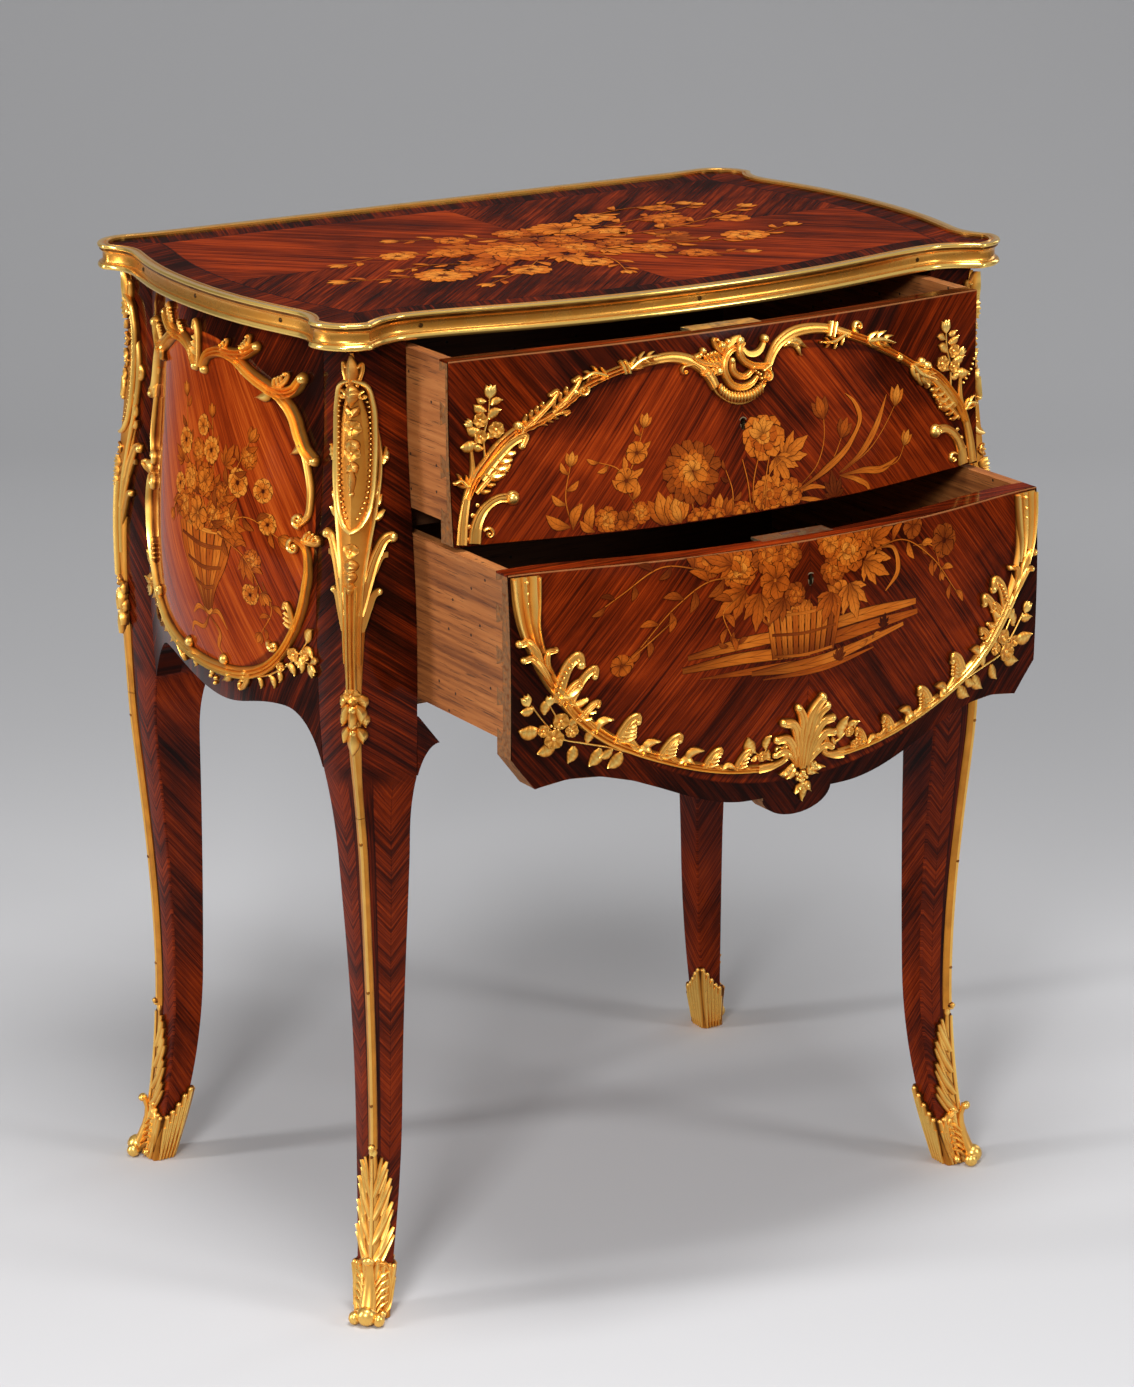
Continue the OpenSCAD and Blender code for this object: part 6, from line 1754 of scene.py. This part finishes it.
def makeStage():
    s = stage
    run = [(s["front"], 0), (s["back"] - s["bend"], 0)]
    run += [(s["back"] - s["bend"] + s["bend"] * math.sin(a), s["bend"] - s["bend"] * math.cos(a))
            for a in np.linspace(0.1, math.pi / 2, 14)]
    run += [(s["back"], s["tall"])]
    yaw = view["yaw"]
    points, faces = [], []
    for y, z in run:
        for x in (-s["wide"], s["wide"]):
            points.append((x * math.cos(yaw) + y * math.sin(yaw), y * math.cos(yaw) - x
                           * math.sin(yaw), z))
    for i in range(len(run) - 1):
        faces.append((2 * i, 2 * i + 1, 2 * i + 3, 2 * i + 2))
    mesh = bpy.data.meshes.new("floor")
    mesh.from_pydata(points, [], faces)
    mesh.shade_smooth()
    paint = Paint("paleFloor")
    x, y, z = paint.place()
    behind = x * math.sin(yaw) + y * math.cos(yaw) + paint.noise(paint.vector(x, y, z), 2, 2) * 0.05
    # The grey follows the distance from the camera as painted light falloff: dark far in front,
    # pale round the chest and on the backdrop
    greys = [((reach + 3) / 8, rgb(grey, grey, grey + 2)) for reach, grey in s["greys"]]
    # In front of the chest the floor glows pale for camera rays only: painted light where the lamps
    # fall off
    glow = paint.fade(behind, -0.46, -1.6) * paint.node("ShaderNodeLightPath")
    grey = paint.ramp(behind * 0.125 + 0.375, greys, "EASE")
    glowColour = paint.mix(glow, rgb(0, 0, 0), rgb(*s["far"]))
    mesh.materials.append(paint.surface(grey, 0.9, Specular_IOR_Level=0.1, Emission_Strength=0.8,
                                        Emission_Color=glowColour))
    floor = bpy.data.objects.new("floor", mesh)
    bpy.context.scene.collection.objects.link(floor)


makeStage()

lamps = [dict(name="keyBox", at=(-2.6, -2.5, 2.3), aim=(0, 0, 0.45), size=(0.8, 0.8), power=74),
         dict(name="leftStrip", at=(-3.0, 0.9, 1.3), aim=(-0.2, 0.1, 0.5), size=(0.4, 2.0),
              power=44), dict(name="frontBox", at=(2.0, -2.8, 1.8), aim=(0.1, 0, 0.5),
                              size=(0.8, 1.2), power=34),
         dict(name="overhead", at=(-0.3, -0.8, 3.0), aim=(0, 0.1, 0.5), size=(1.1, 0.8), power=60),
         dict(name="rightBox", at=(3.2, 0.6, 1.6), aim=(0.2, 0.1, 0.5), size=(0.8, 1.8), power=12)]
for lamp in lamps:
    light = bpy.data.lights.new(lamp["name"], "AREA")
    light.shape, light.size, light.size_y, light.energy = "RECTANGLE", *lamp["size"], lamp["power"]
    holder = bpy.data.objects.new(lamp["name"], light)
    holder.location = lamp["at"]
    holder.rotation_euler = (Vector(lamp["aim"])
                             - Vector(lamp["at"])).to_track_quat("-Z", "Y").to_euler()
    bpy.context.scene.collection.objects.link(holder)

# The world lights the object dimly, and is pale where the camera or the gilt sees it past the floor
bpy.context.scene.world = bpy.data.worlds.new("studio")
sky = Paint("studio", bpy.context.scene.world)
air = sky.node("ShaderNodeBackground", {}, {"Color": rgb(*stage["air"]), "Strength": 0.2})
pale = sky.node("ShaderNodeBackground", {}, {"Color": rgb(*stage["far"]), "Strength": 1.0})
seen = sky.node("ShaderNodeLightPath") + sky.node("ShaderNodeLightPath", out="Is Glossy Ray")
both = sky.node("ShaderNodeMixShader", {}, {0: seen, 1: air, 2: pale})
sky.tree.links.new(both.socket, sky.tree.nodes.new("ShaderNodeOutputWorld").inputs["Surface"])


def makeCamera():
    v = view
    ahead = Vector((math.sin(v["yaw"]) * math.cos(v["pitch"]), math.cos(v["yaw"])
                    * math.cos(v["pitch"]), -math.sin(v["pitch"])))
    right = Vector((math.cos(v["yaw"]), -math.sin(v["yaw"]), 0))
    up = right.cross(ahead)
    right = right * math.cos(v["roll"]) + up * math.sin(v["roll"])
    up = right.cross(ahead)
    camera = bpy.data.objects.new("camera", bpy.data.cameras.new("camera"))
    camera.data.lens, camera.data.sensor_width = v["lens"], v["sensor"]
    camera.data.sensor_fit = "AUTO"
    camera.data.clip_end = v["reach"]
    camera.matrix_world = Matrix.Translation(v["at"]) @ Matrix(
        (right, up, -ahead)).transposed().to_4x4()
    bpy.context.scene.collection.objects.link(camera)
    bpy.context.scene.camera = camera


makeCamera()
bpy.context.scene.view_settings.view_transform = "Standard"

print("scene ready")
